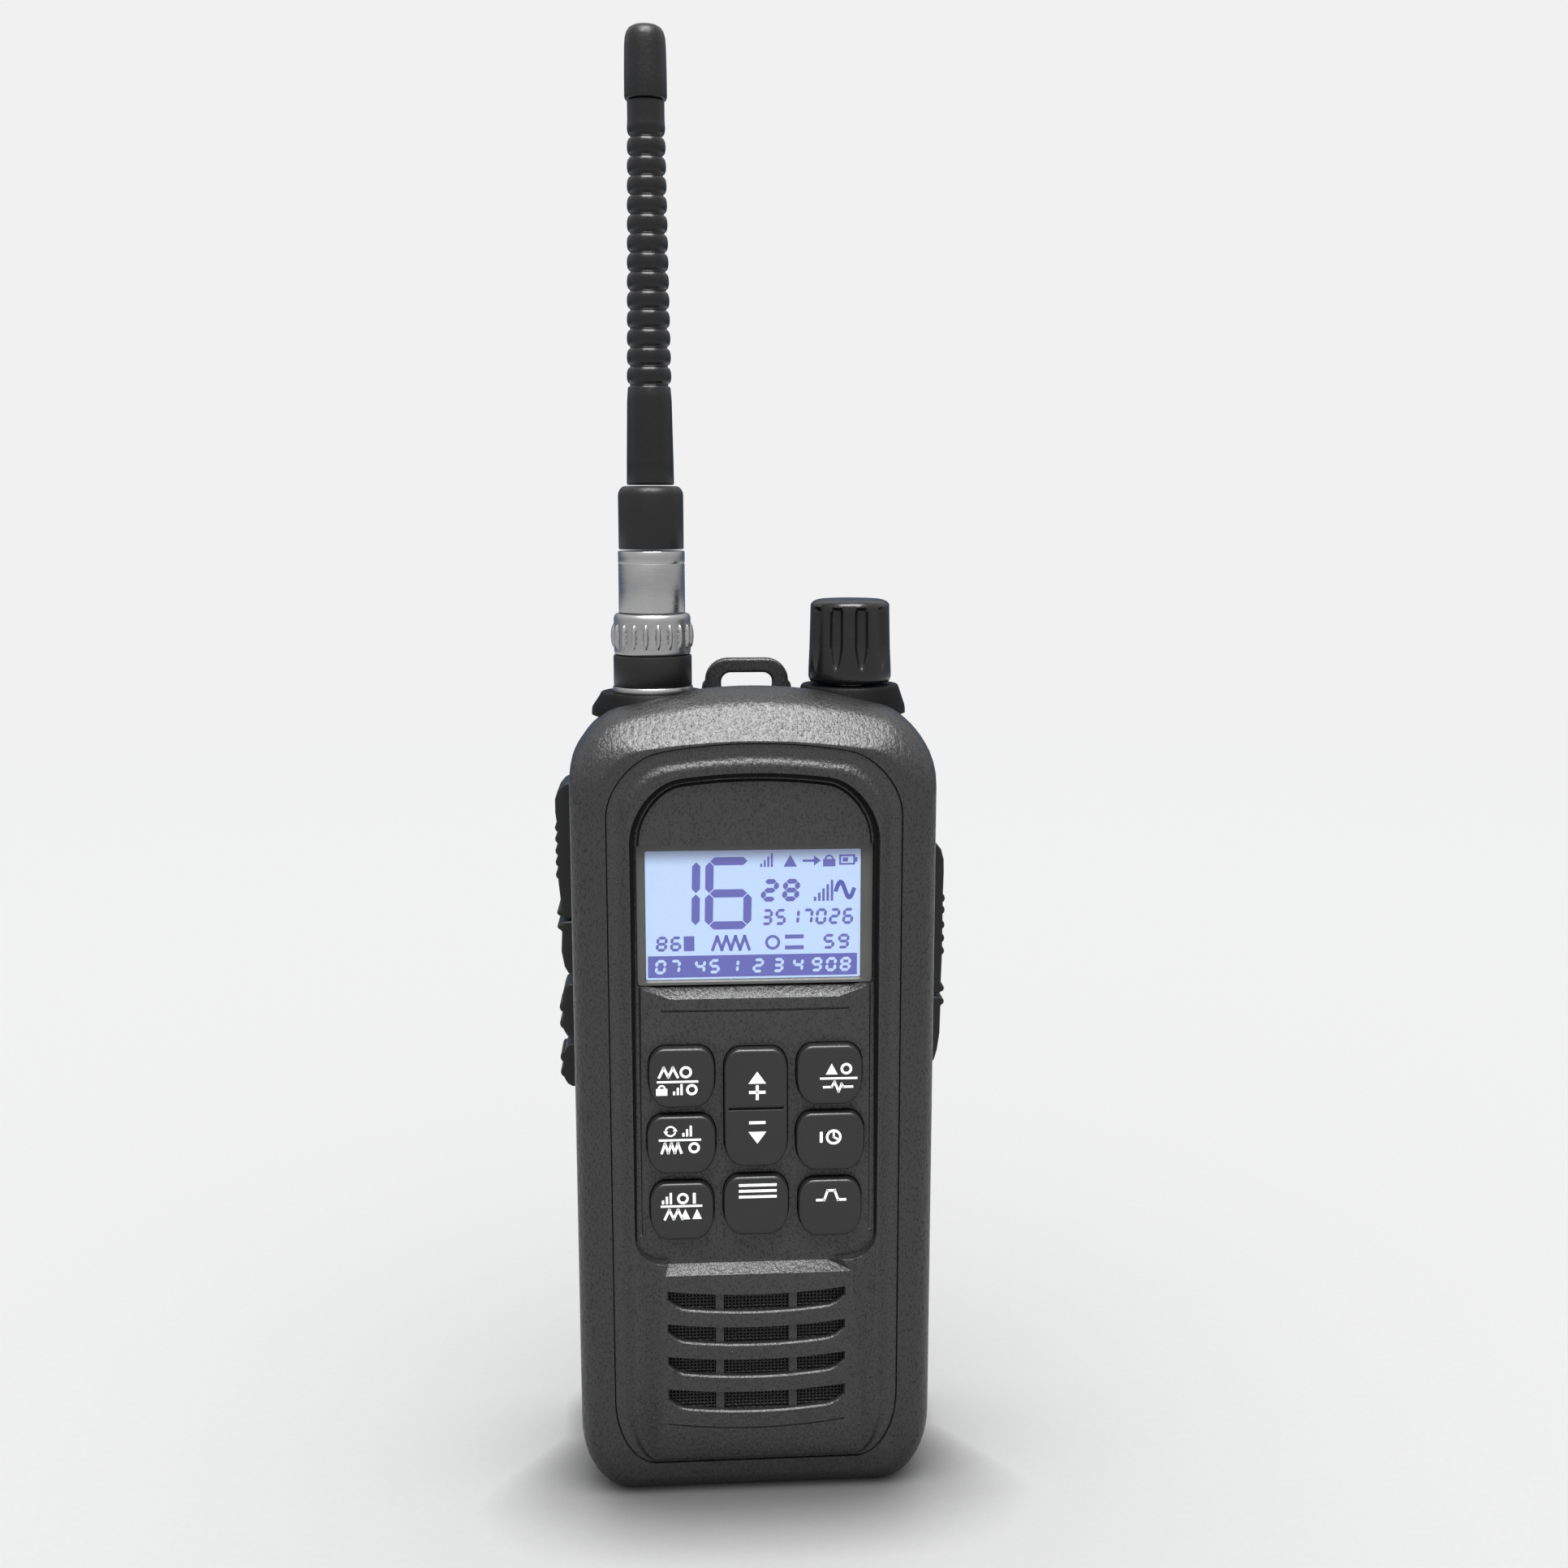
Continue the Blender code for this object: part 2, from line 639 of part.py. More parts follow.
def electronics():
    board = rounded_rect(-25.5, 25.5, 44.5, 126.0, 2.0)
    finish("main_board", along_y([(-10.6, board), (-9.4, board)]), board_green)
    shield = rounded_rect(-18.0, 18.0, 60.0, 108.0, 1.5)
    finish("rf_shield", along_y([(-9.1, shield), (-6.6, shield)]), satin_metal)
    plate = rounded_rect(-25.4, 25.4, 8.5, 120.5, 4.0)
    chassis = finish("chassis", along_y([(-4.2, plate), (-2.4, plate)]), dark_metal)
    clear = rounded_rect(-18.8, 18.8, 48.0, 111.0, 3.0)
    legs = bmesh.new()
    for x in (-22.5, 22.5):
        for z in (49.0, 117.0):
            rod_along_y((x, z), [(2.0, -9.1), (2.0, -3.0)], 12, legs)
    join(chassis, helper("chassis_legs", legs))
    cut(chassis, helper("chassis_window", along_y([(-5.0, clear), (-2.0, clear)])))
    for bottom, top, name in ((112.5, 116.5, "ptt_switch"), (72.0, 87.0, "side_switch_strip")):
        body = rounded_rect(SIDE_Y - 2.0, SIDE_Y + 2.0, bottom, top, 0.5, 2)
        finish(name, along_x([(-27.9, body), (-25.9, body)]), satin_metal)
    block = rounded_rect(-5.0, 3.0, 91.0, 108.0, 0.6, 2)
    jacks = finish("accessory_jacks", along_x([(26.8, block), (30.2, block)]), plastic_black)
    sockets = bmesh.new()
    for z, radius in ((95.5, 1.25), (103.5, 1.75)):
        rod_along_x((SIDE_Y, z), [(radius, 27.4), (radius, 31.0)], 16, sockets)
    cut(jacks, helper("accessory_jacks_sockets", sockets))
    for x, name in zip(CONTACT_XS, ("battery_contact_neg", "battery_contact_pos")):
        leaf = box((x - 1.4, 0.5, 94.5), (x + 1.4, 4.6, 100.0))
        finish(name, leaf, satin_metal)


# ---------------------------------------------------------------- top controls


def bosses():
    """Cones that the antenna and the knob stand on."""
    for name, centre_x, radius, top, top_radius, hole in (
        ("antenna_boss", ANTENNA_X, ANTENNA_BOSS_RADIUS, ANTENNA_BOSS_TOP, 8.6, JACK_HOLE_RADIUS),
        ("knob_boss", KNOB_X, KNOB_BOSS_RADIUS, KNOB_BOSS_TOP, 8.0, SHAFT_RADIUS + 0.4),
    ):
        profile = [
            (hole, BOSS_BOTTOM),
            (radius, BOSS_BOTTOM),
            (radius, BOSS_BOTTOM + 1.0),
            (top_radius, top - 0.3),
            (top_radius - 0.3, top),
            (hole, top),
        ]
        finish(name, turned(profile, (centre_x, TOP_Y)), plastic_black)


def knob():
    body = rounded_rect(KNOB_X - 5.5, KNOB_X + 5.5, TOP_Y - 5.5, TOP_Y + 5.5, 1.0, 2)
    finish("volume_pot", along_z([(121.0, body), (127.6, body)]), dark_metal)
    centre = (KNOB_X, TOP_Y)
    shaft = solid_turned([(SHAFT_RADIUS, 127.9), (SHAFT_RADIUS, 153.0)], centre, 20)
    finish("volume_shaft", shaft, satin_metal, (KNOB_X, TOP_Y, KNOB_BOTTOM))

    def fluted(radius, height, angle):
        if radius < SHAFT_RADIUS + 1:
            return radius
        wave = max(0.0, math.cos(KNOB_FLUTES * angle))
        return radius - 0.9 * wave * (height > KNOB_BOTTOM + 2)

    bore = SHAFT_RADIUS + GAP
    profile = [
        (bore, 153.6),
        (bore, KNOB_BOTTOM),
        (6.6, KNOB_BOTTOM),
        (KNOB_RADIUS, KNOB_BOTTOM + 0.8),
        (KNOB_RADIUS, KNOB_BOTTOM + 3.0),
        (KNOB_RADIUS, KNOB_TOP - 1.6),
        (KNOB_RADIUS - 0.5, KNOB_TOP - 0.5),
        (KNOB_RADIUS - 1.7, KNOB_TOP),
        (1.0, KNOB_TOP),
        (1.0, 153.6),
    ]
    ring = turned(profile, centre, KNOB_FLUTES * 4, radius_at=fluted)
    made = finish("volume_knob", ring, plastic_black, (KNOB_X, TOP_Y, KNOB_BOTTOM))
    plug = solid_turned([(1.6, 154.6), (1.6, KNOB_TOP)], centre, 12)
    join(made, helper("volume_knob_middle", plug))


def antenna():
    centre = (ANTENNA_X, TOP_Y)
    pivot = (ANTENNA_X, TOP_Y, 147.0)
    jack = [
        (1.2, 152.0),
        (1.2, 143.5),
        (1.1, 143.0),
        (1.1, 128.4),
        (4.7, 128.4),
        (4.7, ANTENNA_BOSS_TOP + GAP),
        (6.9, ANTENNA_BOSS_TOP + GAP),
        (6.9, 141.4),
        (3.6, 141.4),
        (3.6, 152.0),
    ]
    finish("antenna_jack", turned(jack, centre), satin_metal)
    boot = [(3.9, 141.7), (6.7, 141.7), (6.7, 146.7), (6.4, 147.0), (3.9, 147.0)]
    finish("jack_boot", turned(boot, centre), rubber_black)
    ferrule = [
        (3.9, 148.0),
        (4.3, 148.0),
        (4.3, 154.9),
        (5.35, 154.9),
        (5.35, 162.7),
        (5.5, 162.9),
        (5.5, 164.8),
        (1.3, 164.8),
        (1.3, 154.0),
        (3.9, 153.4),
    ]
    finish("antenna_ferrule", turned(ferrule, centre), satin_metal, pivot)
    pin = solid_turned([(0.8, 146.4), (0.8, 164.0)], centre, 10)
    finish("antenna_pin", pin, satin_metal, pivot)
    coupling_nut(centre, pivot)
    collar = [(5.6, 165.1), (5.6, 174.9), (4.9, 175.8)]
    finish("antenna_collar", solid_turned(collar, centre), plastic_black, pivot)
    whip = [(4.05, 176.1), (3.75, 192.3)]
    groove_pitch = 3.09
    for number in range(14):
        low = 192.3 + number * groove_pitch
        radius = 3.75 - 0.6 * number / 13
        whip.append((radius - 0.3, low + 0.4))
        whip.append((radius, low + 1.2))
    whip.append((3.1, 235.7))
    whip.append((3.1, 238.4))
    finish("antenna_whip", solid_turned(whip, centre, 12), rubber_black, pivot)
    tip = [(3.2, 238.7), (3.55, 239.3), (3.45, 247.0), (3.1, 249.4), (2.3, 250.2), (1.2, 250.4)]
    finish("antenna_tip", solid_turned(tip, centre, 20), plastic_black, pivot)


def coupling_nut(centre, pivot):
    """Ring with a band of small bumps round its lower half."""

    def bumped(radius, height, angle):
        if radius < 6.0 or not 148.8 < height < 152.8:
            return radius
        return radius + 0.6 * max(0.0, math.cos(NUT_BUMPS * angle))

    profile = [
        (4.6, 147.5),
        (6.4, 147.5),
        (6.6, 148.0),
        (6.6, 148.5),
        (6.6, 150.5),
        (6.6, 152.4),
        (6.6, 153.0),
        (6.6, 153.9),
        (6.0, 154.6),
        (4.6, 154.6),
    ]
    ring = turned(profile, centre, NUT_BUMPS * 2, radius_at=bumped)
    finish("coupling_nut", ring, satin_metal, pivot)


# ---------------------------------------------------------------- side controls


def ribbed(side, depth, heights, base, rib):
    """Outer edge in (x, z) going up: small raised ribs at these heights."""
    points = []
    for z in heights:
        points.append((side * base, z - rib))
        points.append((side * (base + depth), z))
        points.append((side * base, z + rib))
    return points


def side_piece(name, outline, width, pivot, look=rubber_black):
    low, high = SIDE_Y - width / 2, SIDE_Y + width / 2
    return finish(name, along_y([(low, outline), (high, outline)]), look, pivot)


def push_to_talk():
    inner = -29.2
    pivot = (PTT_PIVOT_X, SIDE_Y, PTT_PIVOT_Z)
    lever = [(inner, 101.9), (-32.9, 101.9)]
    lever += ribbed(-1, 0.8, (102.9,), 33.0, 0.6)
    lever += ribbed(-1, 0.4, (109.6, 111.8, 113.8, 115.9, 117.9), 33.3, 0.6)
    lever += [(-33.6, 122.6), (-32.9, 124.8), (-31.5, 125.8), (inner, 126.0)]
    side_piece("ptt_lever", lever, 10.0, pivot)
    foot = [(inner, 91.4), (-31.4, 91.4), (-32.5, 93.0), (-33.0, 96.0)]
    foot += ribbed(-1, 0.8, (100.4,), 33.0, 0.6) + [(-32.9, 101.4), (inner, 101.4)]
    side_piece("ptt_foot", foot, 10.0, (inner, SIDE_Y, 96.0))


def side_keys():
    for name, bottom, top, bumps in (
        ("side_key_upper", 79.9, 90.0, (82.6, 85.6)),
        ("side_key_lower", 71.2, 78.9, (73.9, 76.6)),
    ):
        outline = [(-29.2, bottom), (-32.0, bottom), (-33.0, bottom + 1.2)]
        outline += ribbed(-1, 0.5, bumps, 33.3, 0.8)
        outline += [(-33.0, top - 1.4), (-32.0, top), (-29.2, top)]
        side_piece(name, outline, 8.0, (-29.2, SIDE_Y, (bottom + top) / 2))


def jack_cover():
    inner = CASE_HALF_WIDTH + GAP
    pivot = (COVER_PIVOT_X, SIDE_Y, COVER_PIVOT_Z)
    cover = [(inner, 87.3), (33.4, 87.3)]
    cover += ribbed(1, 0.6, (88.2,), 33.4, 0.6)
    cover += ribbed(1, 0.35, (95.0, 97.3, 99.7, 102.4, 104.5), 33.5, 0.6)
    cover += [(33.6, 110.5), (33.1, 113.2), (32.0, 114.4), (inner, 114.6)]
    side_piece("jack_cover", cover, 11.0, pivot)
    foot = [(inner, 74.2), (31.8, 74.3), (32.8, 77.0), (33.3, 80.0)]
    foot += ribbed(1, 0.6, (85.8,), 33.4, 0.6) + [(33.4, 86.7), (inner, 86.7)]
    side_piece("jack_cover_foot", foot, 11.0, (inner, SIDE_Y, 80.0))


# ---------------------------------------------------------------- battery pack and belt clip


def battery_pack():
    half = BAY_HALF_WIDTH - GAP
    low, high = BAY_BOTTOM + GAP, BAY_TOP - GAP
    face = CASE_BACK - 0.2
    outline = rounded_rect(-half, half, low, high, 1.0, 2)
    inset = rounded_rect(-half + 1.2, half - 1.2, low + 1.2, high - 1.2, 1.0, 2)
    sections = [(6.2, outline), (face - 1.0, outline), (face, inset)]
    case = finish("battery_case", along_y(sections), plastic_black)
    hollow = rounded_rect(-half + 1.5, half - 1.5, 23.5, high - 1.5, 1.0, 2)
    recess = box((-8.0, 15.3, BAY_BOTTOM - 1), (8.0, CASE_BACK + 1, 22.0))
    cut(
        case,
        helper("battery_case_hollow", along_y([(5.0, hollow), (15.6, hollow)])),
        helper("battery_case_latch_recess", recess),
    )
    finish("battery_lid", along_y([(4.9, outline), (5.9, outline)]), plastic_black)
    for name, left, right in (("battery_cell_left", -22.4, -0.3), ("battery_cell_right", 0.3, 22.4)):
        cell = rounded_rect(left, right, 24.2, high - 2.2, 1.5, 2)
        finish(name, along_y([(6.3, cell), (15.2, cell)]), satin_metal)
    latch = [(15.7, 5.4), (18.2, 5.4), (18.6, 9.5), (18.9, 12.0)]
    latch += [(18.6, 14.5), (18.9, 17.0), (18.0, 18.6), (15.7, 18.6)]
    finish("battery_latch", along_x([(-7.6, latch), (7.6, latch)]), plastic_black, (0.0, 17.0, 12.0))


def belt_clip():
    back = CASE_BACK - 0.2 + GAP
    pivot = (0.0, CLIP_PIVOT_Y, CLIP_PIVOT_Z)
    centre = (CLIP_PIVOT_Y, CLIP_PIVOT_Z)
    plate = rounded_rect(-9.5, 9.5, 82.0, 102.0, 1.5, 3)
    bracket = finish("clip_bracket", along_y([(back, plate), (back + 1.5, plate)]), plastic_black)
    ears, ear_holes = bmesh.new(), bmesh.new()
    ear = [(back + 0.5, 88.4), (CLIP_PIVOT_Y + 2.6, 90.2), (CLIP_PIVOT_Y + 2.6, 93.8), (back + 0.5, 95.6)]
    for left in (-9.2, 7.2):
        along_x([(left, ear), (left + 2.0, ear)], ears)
    rod_along_x(centre, [(1.5, -12.0), (1.5, 12.0)], 16, ear_holes)
    join(bracket, helper("clip_bracket_ears", ears))
    cut(bracket, helper("clip_bracket_holes", ear_holes))
    finish("clip_pin", rod_along_x(centre, [(1.2, -9.0), (1.2, 9.0)], 16), satin_metal)
    inner, outer = CLIP_PIVOT_Y + 2.9, CLIP_PIVOT_Y + 4.5
    arm = [
        (inner, 99.0),
        (inner, 50.0),
        (inner - 1.2, 45.0),
        (inner - 3.6, 42.0),
        (inner - 3.6, 40.2),
        (inner - 1.4, 40.2),
        (outer, 46.0),
        (outer, 97.5),
        (outer - 0.6, 100.0),
        (inner + 0.2, 100.6),
    ]
    clip = finish("belt_clip", along_x([(-6.6, arm), (6.6, arm)]), plastic_black, pivot)
    knuckles, bore = bmesh.new(), bmesh.new()
    lug = [(CLIP_PIVOT_Y - 2.0, 90.8), (inner + 0.6, 89.0), (inner + 0.6, 95.0), (CLIP_PIVOT_Y - 2.0, 93.2)]
    for left in (-6.6, 3.4):
        along_x([(left, lug), (left + 3.2, lug)], knuckles)
    rod_along_x(centre, [(1.5, -12.0), (1.5, 12.0)], 16, bore)
    join(clip, helper("belt_clip_knuckles", knuckles))
    cut(clip, helper("belt_clip_bore", bore))
    clip_spring(centre)


def clip_spring(centre):
    """Torsion coil round the pin, with two short legs."""
    turns, coil, half_length, wire = 3, 1.95, 2.4, 0.35
    steps = 12 * turns
    points = []
    for i in range(steps + 1):
        angle = 2 * math.pi * i / 12
        x = -half_length + 2 * half_length * i / steps
        points.append((x, centre[0] - coil * math.cos(angle), centre[1] + coil * math.sin(angle)))
    start, end = points[0], points[-1]
    points.insert(0, (start[0], start[1], start[2] - 4.0))
    points.append((end[0], end[1], end[2] + 4.0))
    curve = bpy.data.curves.new("clip_spring", "CURVE")
    curve.dimensions = "3D"
    curve.bevel_depth = wire * MM
    curve.bevel_resolution = 1
    curve.use_fill_caps = True
    spline = curve.splines.new("POLY")
    spline.points.add(len(points) - 1)
    for target, place in zip(spline.points, points):
        target.co = (*[c * MM for c in place], 1.0)
    spring = bpy.data.objects.new("clip_spring", curve)
    curve.materials.append(satin_metal("clip_spring"))
    bpy.context.scene.collection.objects.link(spring)


def main():
    clear_scene()
    front_shell()
    rear_shell()
    case_screws()
    case_seal()
    strap_eyelet()
    front_panel()
    keypad()
    display()
    speaker()
    electronics()
    bosses()
    knob()
    antenna()
    push_to_talk()
    side_keys()
    jack_cover()
    battery_pack()
    belt_clip()


main()
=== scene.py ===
"""Looks of the hand-held radio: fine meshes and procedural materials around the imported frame.

Sizes are in millimetres until a mesh is made. The frame's origin is the middle of the underside, the front
faces -Y and +X is to the right of someone facing it."""

import json
import math

import bmesh
import bpy
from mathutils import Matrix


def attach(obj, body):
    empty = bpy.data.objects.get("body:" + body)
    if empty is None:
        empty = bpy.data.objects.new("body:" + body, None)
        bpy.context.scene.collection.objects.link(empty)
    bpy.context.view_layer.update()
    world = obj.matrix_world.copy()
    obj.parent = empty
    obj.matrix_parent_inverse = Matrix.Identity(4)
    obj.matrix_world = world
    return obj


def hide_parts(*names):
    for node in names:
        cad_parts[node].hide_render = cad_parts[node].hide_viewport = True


MM = 0.001
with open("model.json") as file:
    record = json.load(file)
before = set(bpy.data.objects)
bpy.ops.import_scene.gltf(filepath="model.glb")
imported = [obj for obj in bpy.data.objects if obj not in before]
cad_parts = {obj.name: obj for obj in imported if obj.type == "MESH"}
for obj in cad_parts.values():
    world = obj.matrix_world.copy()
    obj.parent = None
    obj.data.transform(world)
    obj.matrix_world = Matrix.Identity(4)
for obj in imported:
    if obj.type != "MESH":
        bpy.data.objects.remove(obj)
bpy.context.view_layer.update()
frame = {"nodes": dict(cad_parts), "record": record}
SLOT_OF = {part["node"]: part["material_slot"] for part in frame["record"]["subparts"]}
SHARP_ANGLE = 35.0  # degrees between faces


# ---------------- shapes


def placed(name, mesh):
    """Object in metres, from a mesh in millimetres."""
    bmesh.ops.recalc_face_normals(mesh, faces=mesh.faces)
    bmesh.ops.scale(mesh, verts=mesh.verts, vec=(MM, MM, MM))
    data = bpy.data.meshes.new(name)
    mesh.to_mesh(data)
    mesh.free()
    made = bpy.data.objects.new(name, data)
    bpy.context.scene.collection.objects.link(made)
    return made


def finished(data, look, smooth=SHARP_ANGLE):
    """Gives the mesh this one material, and shades it smooth up to the sharp angle."""
    data.materials.clear()
    data.materials.append(look)
    data.shade_smooth()
    data.set_sharp_from_angle(angle=math.radians(smooth))


def build(name, mesh, look, body, replaces=(), smooth=SHARP_ANGLE):
    """Makes the piece, rides it on its body and hides the CAD nodes it stands for."""
    bmesh.ops.remove_doubles(mesh, verts=mesh.verts, dist=1e-4)
    made = placed(name, mesh)
    finished(made.data, look, smooth)
    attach(made, body)
    for node in replaces:
        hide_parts(node)
    return made


def add_bevel(piece, width, segments=3, angle=30.0):
    step = piece.modifiers.new("edges", "BEVEL")
    step.width = width * MM
    step.segments = segments
    step.limit_method = "ANGLE"
    step.angle_limit = math.radians(angle)


def cut_away(piece, cutters):
    """Cuts these closed shapes from the piece, with the result kept in its mesh."""
    helpers = []
    for number, cutter in enumerate(cutters):
        helpers.append(placed(f"cutter_{number}", cutter))
        step = piece.modifiers.new(f"cut_{number}", "BOOLEAN")
        step.operation = "DIFFERENCE"
        step.solver = "EXACT"
        step.object = helpers[-1]
    bpy.context.view_layer.update()
    graph = bpy.context.evaluated_depsgraph_get()
    cut = bpy.data.meshes.new_from_object(piece.evaluated_get(graph))
    piece.modifiers.clear()
    look = piece.data.materials[0]
    piece.data = cut
    finished(cut, look)
    for helper in helpers:
        bpy.data.objects.remove(helper)


def loft(rings, closed=False, mesh=None):
    """Skins a row of rings that hold the same number of points, and caps its ends."""
    mesh = mesh or bmesh.new()
    rows = [[mesh.verts.new(p) for p in ring] for ring in rings]
    pairs = list(zip(rows, rows[1:]))
    if closed:
        pairs.append((rows[-1], rows[0]))
    for low, high in pairs:
        count = len(low)
        for i in range(count):
            j = (i + 1) % count
            mesh.faces.new((low[i], low[j], high[j], high[i]))
    if not closed:
        mesh.faces.new(rows[0])
        mesh.faces.new(rows[-1])
    return mesh


def along_y(sections, mesh=None):
    return loft([[(x, y, z) for x, z in outline] for y, outline in sections], mesh=mesh)


def along_x(sections, mesh=None):
    return loft([[(x, y, z) for y, z in outline] for x, outline in sections], mesh=mesh)


def along_z(sections, mesh=None):
    return loft([[(x, y, z) for x, y in outline] for z, outline in sections], mesh=mesh)


def arc(centre, radii, start, end, steps):
    points = []
    for i in range(steps + 1):
        angle = math.radians(start + (end - start) * i / steps)
        points.append((centre[0] + radii[0] * math.cos(angle), centre[1] + radii[1] * math.sin(angle)))
    return points


def cornered(left, right, bottom, top, low, high, steps):
    """A rectangle with elliptic corners, of one size at its foot and another at its top."""
    return (
        arc((right - low[0], bottom + low[1]), low, -90, 0, steps)
        + arc((right - high[0], top - high[1]), high, 0, 90, steps)
        + arc((left + high[0], top - high[1]), high, 90, 180, steps)
        + arc((left + low[0], bottom + low[1]), low, 180, 270, steps)
    )


def rounded_rect(left, right, bottom, top, radius, steps=6):
    return cornered(left, right, bottom, top, (radius, radius), (radius, radius), steps)


def circle(centre, radius, sides=64):
    return arc(centre, (radius, radius), 0, 360, sides)[:-1]


def turned(profile, centre, sides=96, bore=False, radius_at=None):
    """Turns a profile of (radius, height) about a vertical line. A piece with a bore has a closed profile."""

    def at(radius, height, turn):
        angle = 2 * math.pi * turn / sides
        r = radius_at(radius, height, angle) if radius_at else radius
        return centre[0] + r * math.cos(angle), centre[1] + r * math.sin(angle), height

    if bore:
        return loft([[at(*point, turn) for point in profile] for turn in range(sides)], closed=True)
    return loft([[at(*point, turn) for turn in range(sides)] for point in profile])


def upright_outline(half, bottom, top, low_corner, high_corner, crown, steps=12):
    """Outline of the case or panel in (x, z): rounded corners and a crowned top edge."""
    low_x, low_z = low_corner
    high_x, high_z = high_corner
    flat = top - crown

    def raised(points):
        lift = [crown * max(0.0, 1 - (x / half) ** 2) * (z - flat + high_z) / high_z for x, z in points]
        return [(x, z + rise) for (x, z), rise in zip(points, lift)]

    right_low = arc((half - low_x, bottom + low_z), (low_x, low_z), -90, 0, steps)
    right_high = arc((half - high_x, flat - high_z), (high_x, high_z), 0, 90, steps)
    reach = half - high_x
    across = [(reach * (1 - i / 12), flat) for i in range(1, 24)]
    left_high = [(-x, z) for x, z in reversed(right_high)]
    left_low = [(-x, z) for x, z in reversed(right_low)]
    low = [(reach * (i / 6 - 1) * (half - low_x) / reach, bottom) for i in range(1, 12)]
    return right_low + raised(right_high + across + left_high) + left_low + low


def grown(outline, grow):
    """The same outline with each point moved out, square to the edge."""
    moved = []
    count = len(outline)
    for i in range(count):
        (ax, az), (x, z), (bx, bz) = outline[i - 1], outline[i], outline[(i + 1) % count]
        share = grow / math.hypot(bx - ax, bz - az)
        moved.append((x + share * (bz - az), z - share * (bx - ax)))
    return moved


def glide(keys, per_step=5):
    """Smooth rows between key rows of numbers, as a curve through them."""
    rows = []
    count = len(keys)
    for i in range(count - 1):
        before, start, end, after = keys[max(i - 1, 0)], keys[i], keys[i + 1], keys[min(i + 2, count - 1)]
        for step in range(per_step):
            t = step / per_step
            row = []
            for a, b, c, d in zip(before, start, end, after):
                bend = (2 * a - 5 * b + 4 * c - d) * t**2 + (3 * b - a - 3 * c + d) * t**3
                row.append(0.5 * (2 * b + (c - a) * t + bend))
            rows.append(row)
    rows.append(list(keys[-1]))
    return rows


def upright_row(row):
    """(y, outline) from y, half, bottom, top, corner sizes and crown."""
    y, half, bottom, top, low_x, low_z, high_x, high_z, crown = row
    return y, upright_outline(half, bottom, top, (low_x, low_z), (high_x, high_z), crown)


# ---------------- materials


class Nodes:
    """A short way to write a material's node tree."""

    def __init__(self, name):
        self.material = bpy.data.materials.new(name)
        self.material.use_nodes = True
        self.tree = self.material.node_tree
        self.shader = self.tree.nodes["Principled BSDF"]
        self.place = self.tree.nodes.new("ShaderNodeTexCoord").outputs["Object"]

    def add(self, kind, inputs=None, **settings):
        node = self.tree.nodes.new(kind)
        for key, value in settings.items():
            setattr(node, key, value)
        for key, value in (inputs or {}).items():
            self.set(node.inputs[key], value)
        return node

    def set(self, socket, value):
        if isinstance(value, bpy.types.NodeSocket):
            self.tree.links.new(value, socket)
        else:
            socket.default_value = value

    def give(self, name, value):
        """Sets an input of the material's shader."""
        self.set(self.shader.inputs[name], value)

    def noise(self, size_mm, detail=3.0, roughness=0.55, stretch=None):
        place = self.place
        if stretch:
            place = self.add("ShaderNodeVectorMath", {0: place, 1: stretch}, operation="MULTIPLY").outputs[0]
        inputs = {"Vector": place, "Scale": 1.0 / (size_mm * MM), "Detail": detail, "Roughness": roughness}
        return self.add("ShaderNodeTexNoise", inputs).outputs["Fac"]

    def spread(self, value, low, high, from_low=0.3, from_high=0.7):
        inputs = {"Value": value, "From Min": from_low, "From Max": from_high, "To Min": low, "To Max": high}
        return self.add("ShaderNodeMapRange", inputs).outputs["Result"]

    def mix(self, share, first, second):
        node = self.add("ShaderNodeMix", data_type="RGBA")
        self.set(node.inputs["Factor"], share)
        for socket, value in ((node.inputs["A"], first), (node.inputs["B"], second)):
            self.set(socket, value if isinstance(value, bpy.types.NodeSocket) else (*value, 1.0))
        return node.outputs["Result"]

    def bump(self, height, depth_mm, strength):
        inputs = {"Height": height, "Distance": depth_mm * MM, "Strength": strength}
        return self.add("ShaderNodeBump", inputs).outputs["Normal"]

    def edge_scuff_and_highlight(self):
        """1 on outer edges and 0 elsewhere."""
        return self.spread(self.add("ShaderNodeNewGeometry").outputs["Pointiness"], 0.0, 1.0, 0.52, 0.62)


FLECK_SIZE = 0.32


def moulded(
    name, colour, roughness, grain, depth, strength, specular=0.5, edge=0.25, stretch=1.0, fleck=None
):
    """Moulded plastic or rubber: fine grain, mottled gloss, outer edges lighter from scuffs and a painted
    highlight, and dull pits if it has flecks.
    """
    n = Nodes(name)
    mottle = n.noise(6.0, 4.0)
    fine = n.noise(grain, 4.0, 0.6, (1.0, 1.0, stretch))
    light = [min(1.0, c * 1.08) for c in colour]
    dark = [c * 0.92 for c in colour]
    base = n.mix(n.spread(mottle, 0.0, 1.0), dark, light)
    # outer edges lightened: partly scuffing, partly a painted edge highlight
    scuffed_and_highlit = [min(1.0, c * 1.4 + 0.01) for c in colour]
    scuff_and_highlight = n.add("ShaderNodeMath", {0: n.edge_scuff_and_highlight(), 1: edge}, operation="MULTIPLY").outputs[0]
    n.give("Base Color", n.mix(scuff_and_highlight, base, scuffed_and_highlit))
    n.give("Roughness", n.spread(fine, roughness - 0.06, roughness + 0.08))
    if fleck:
        pits = n.noise(FLECK_SIZE, 2.0, 0.7, (1.0, 1.0, stretch))
        specular = n.spread(pits, *fleck, 0.38, 0.48)
    n.give("Specular IOR Level", specular)
    n.give("Normal", n.bump(fine, depth, strength))
    return n.material


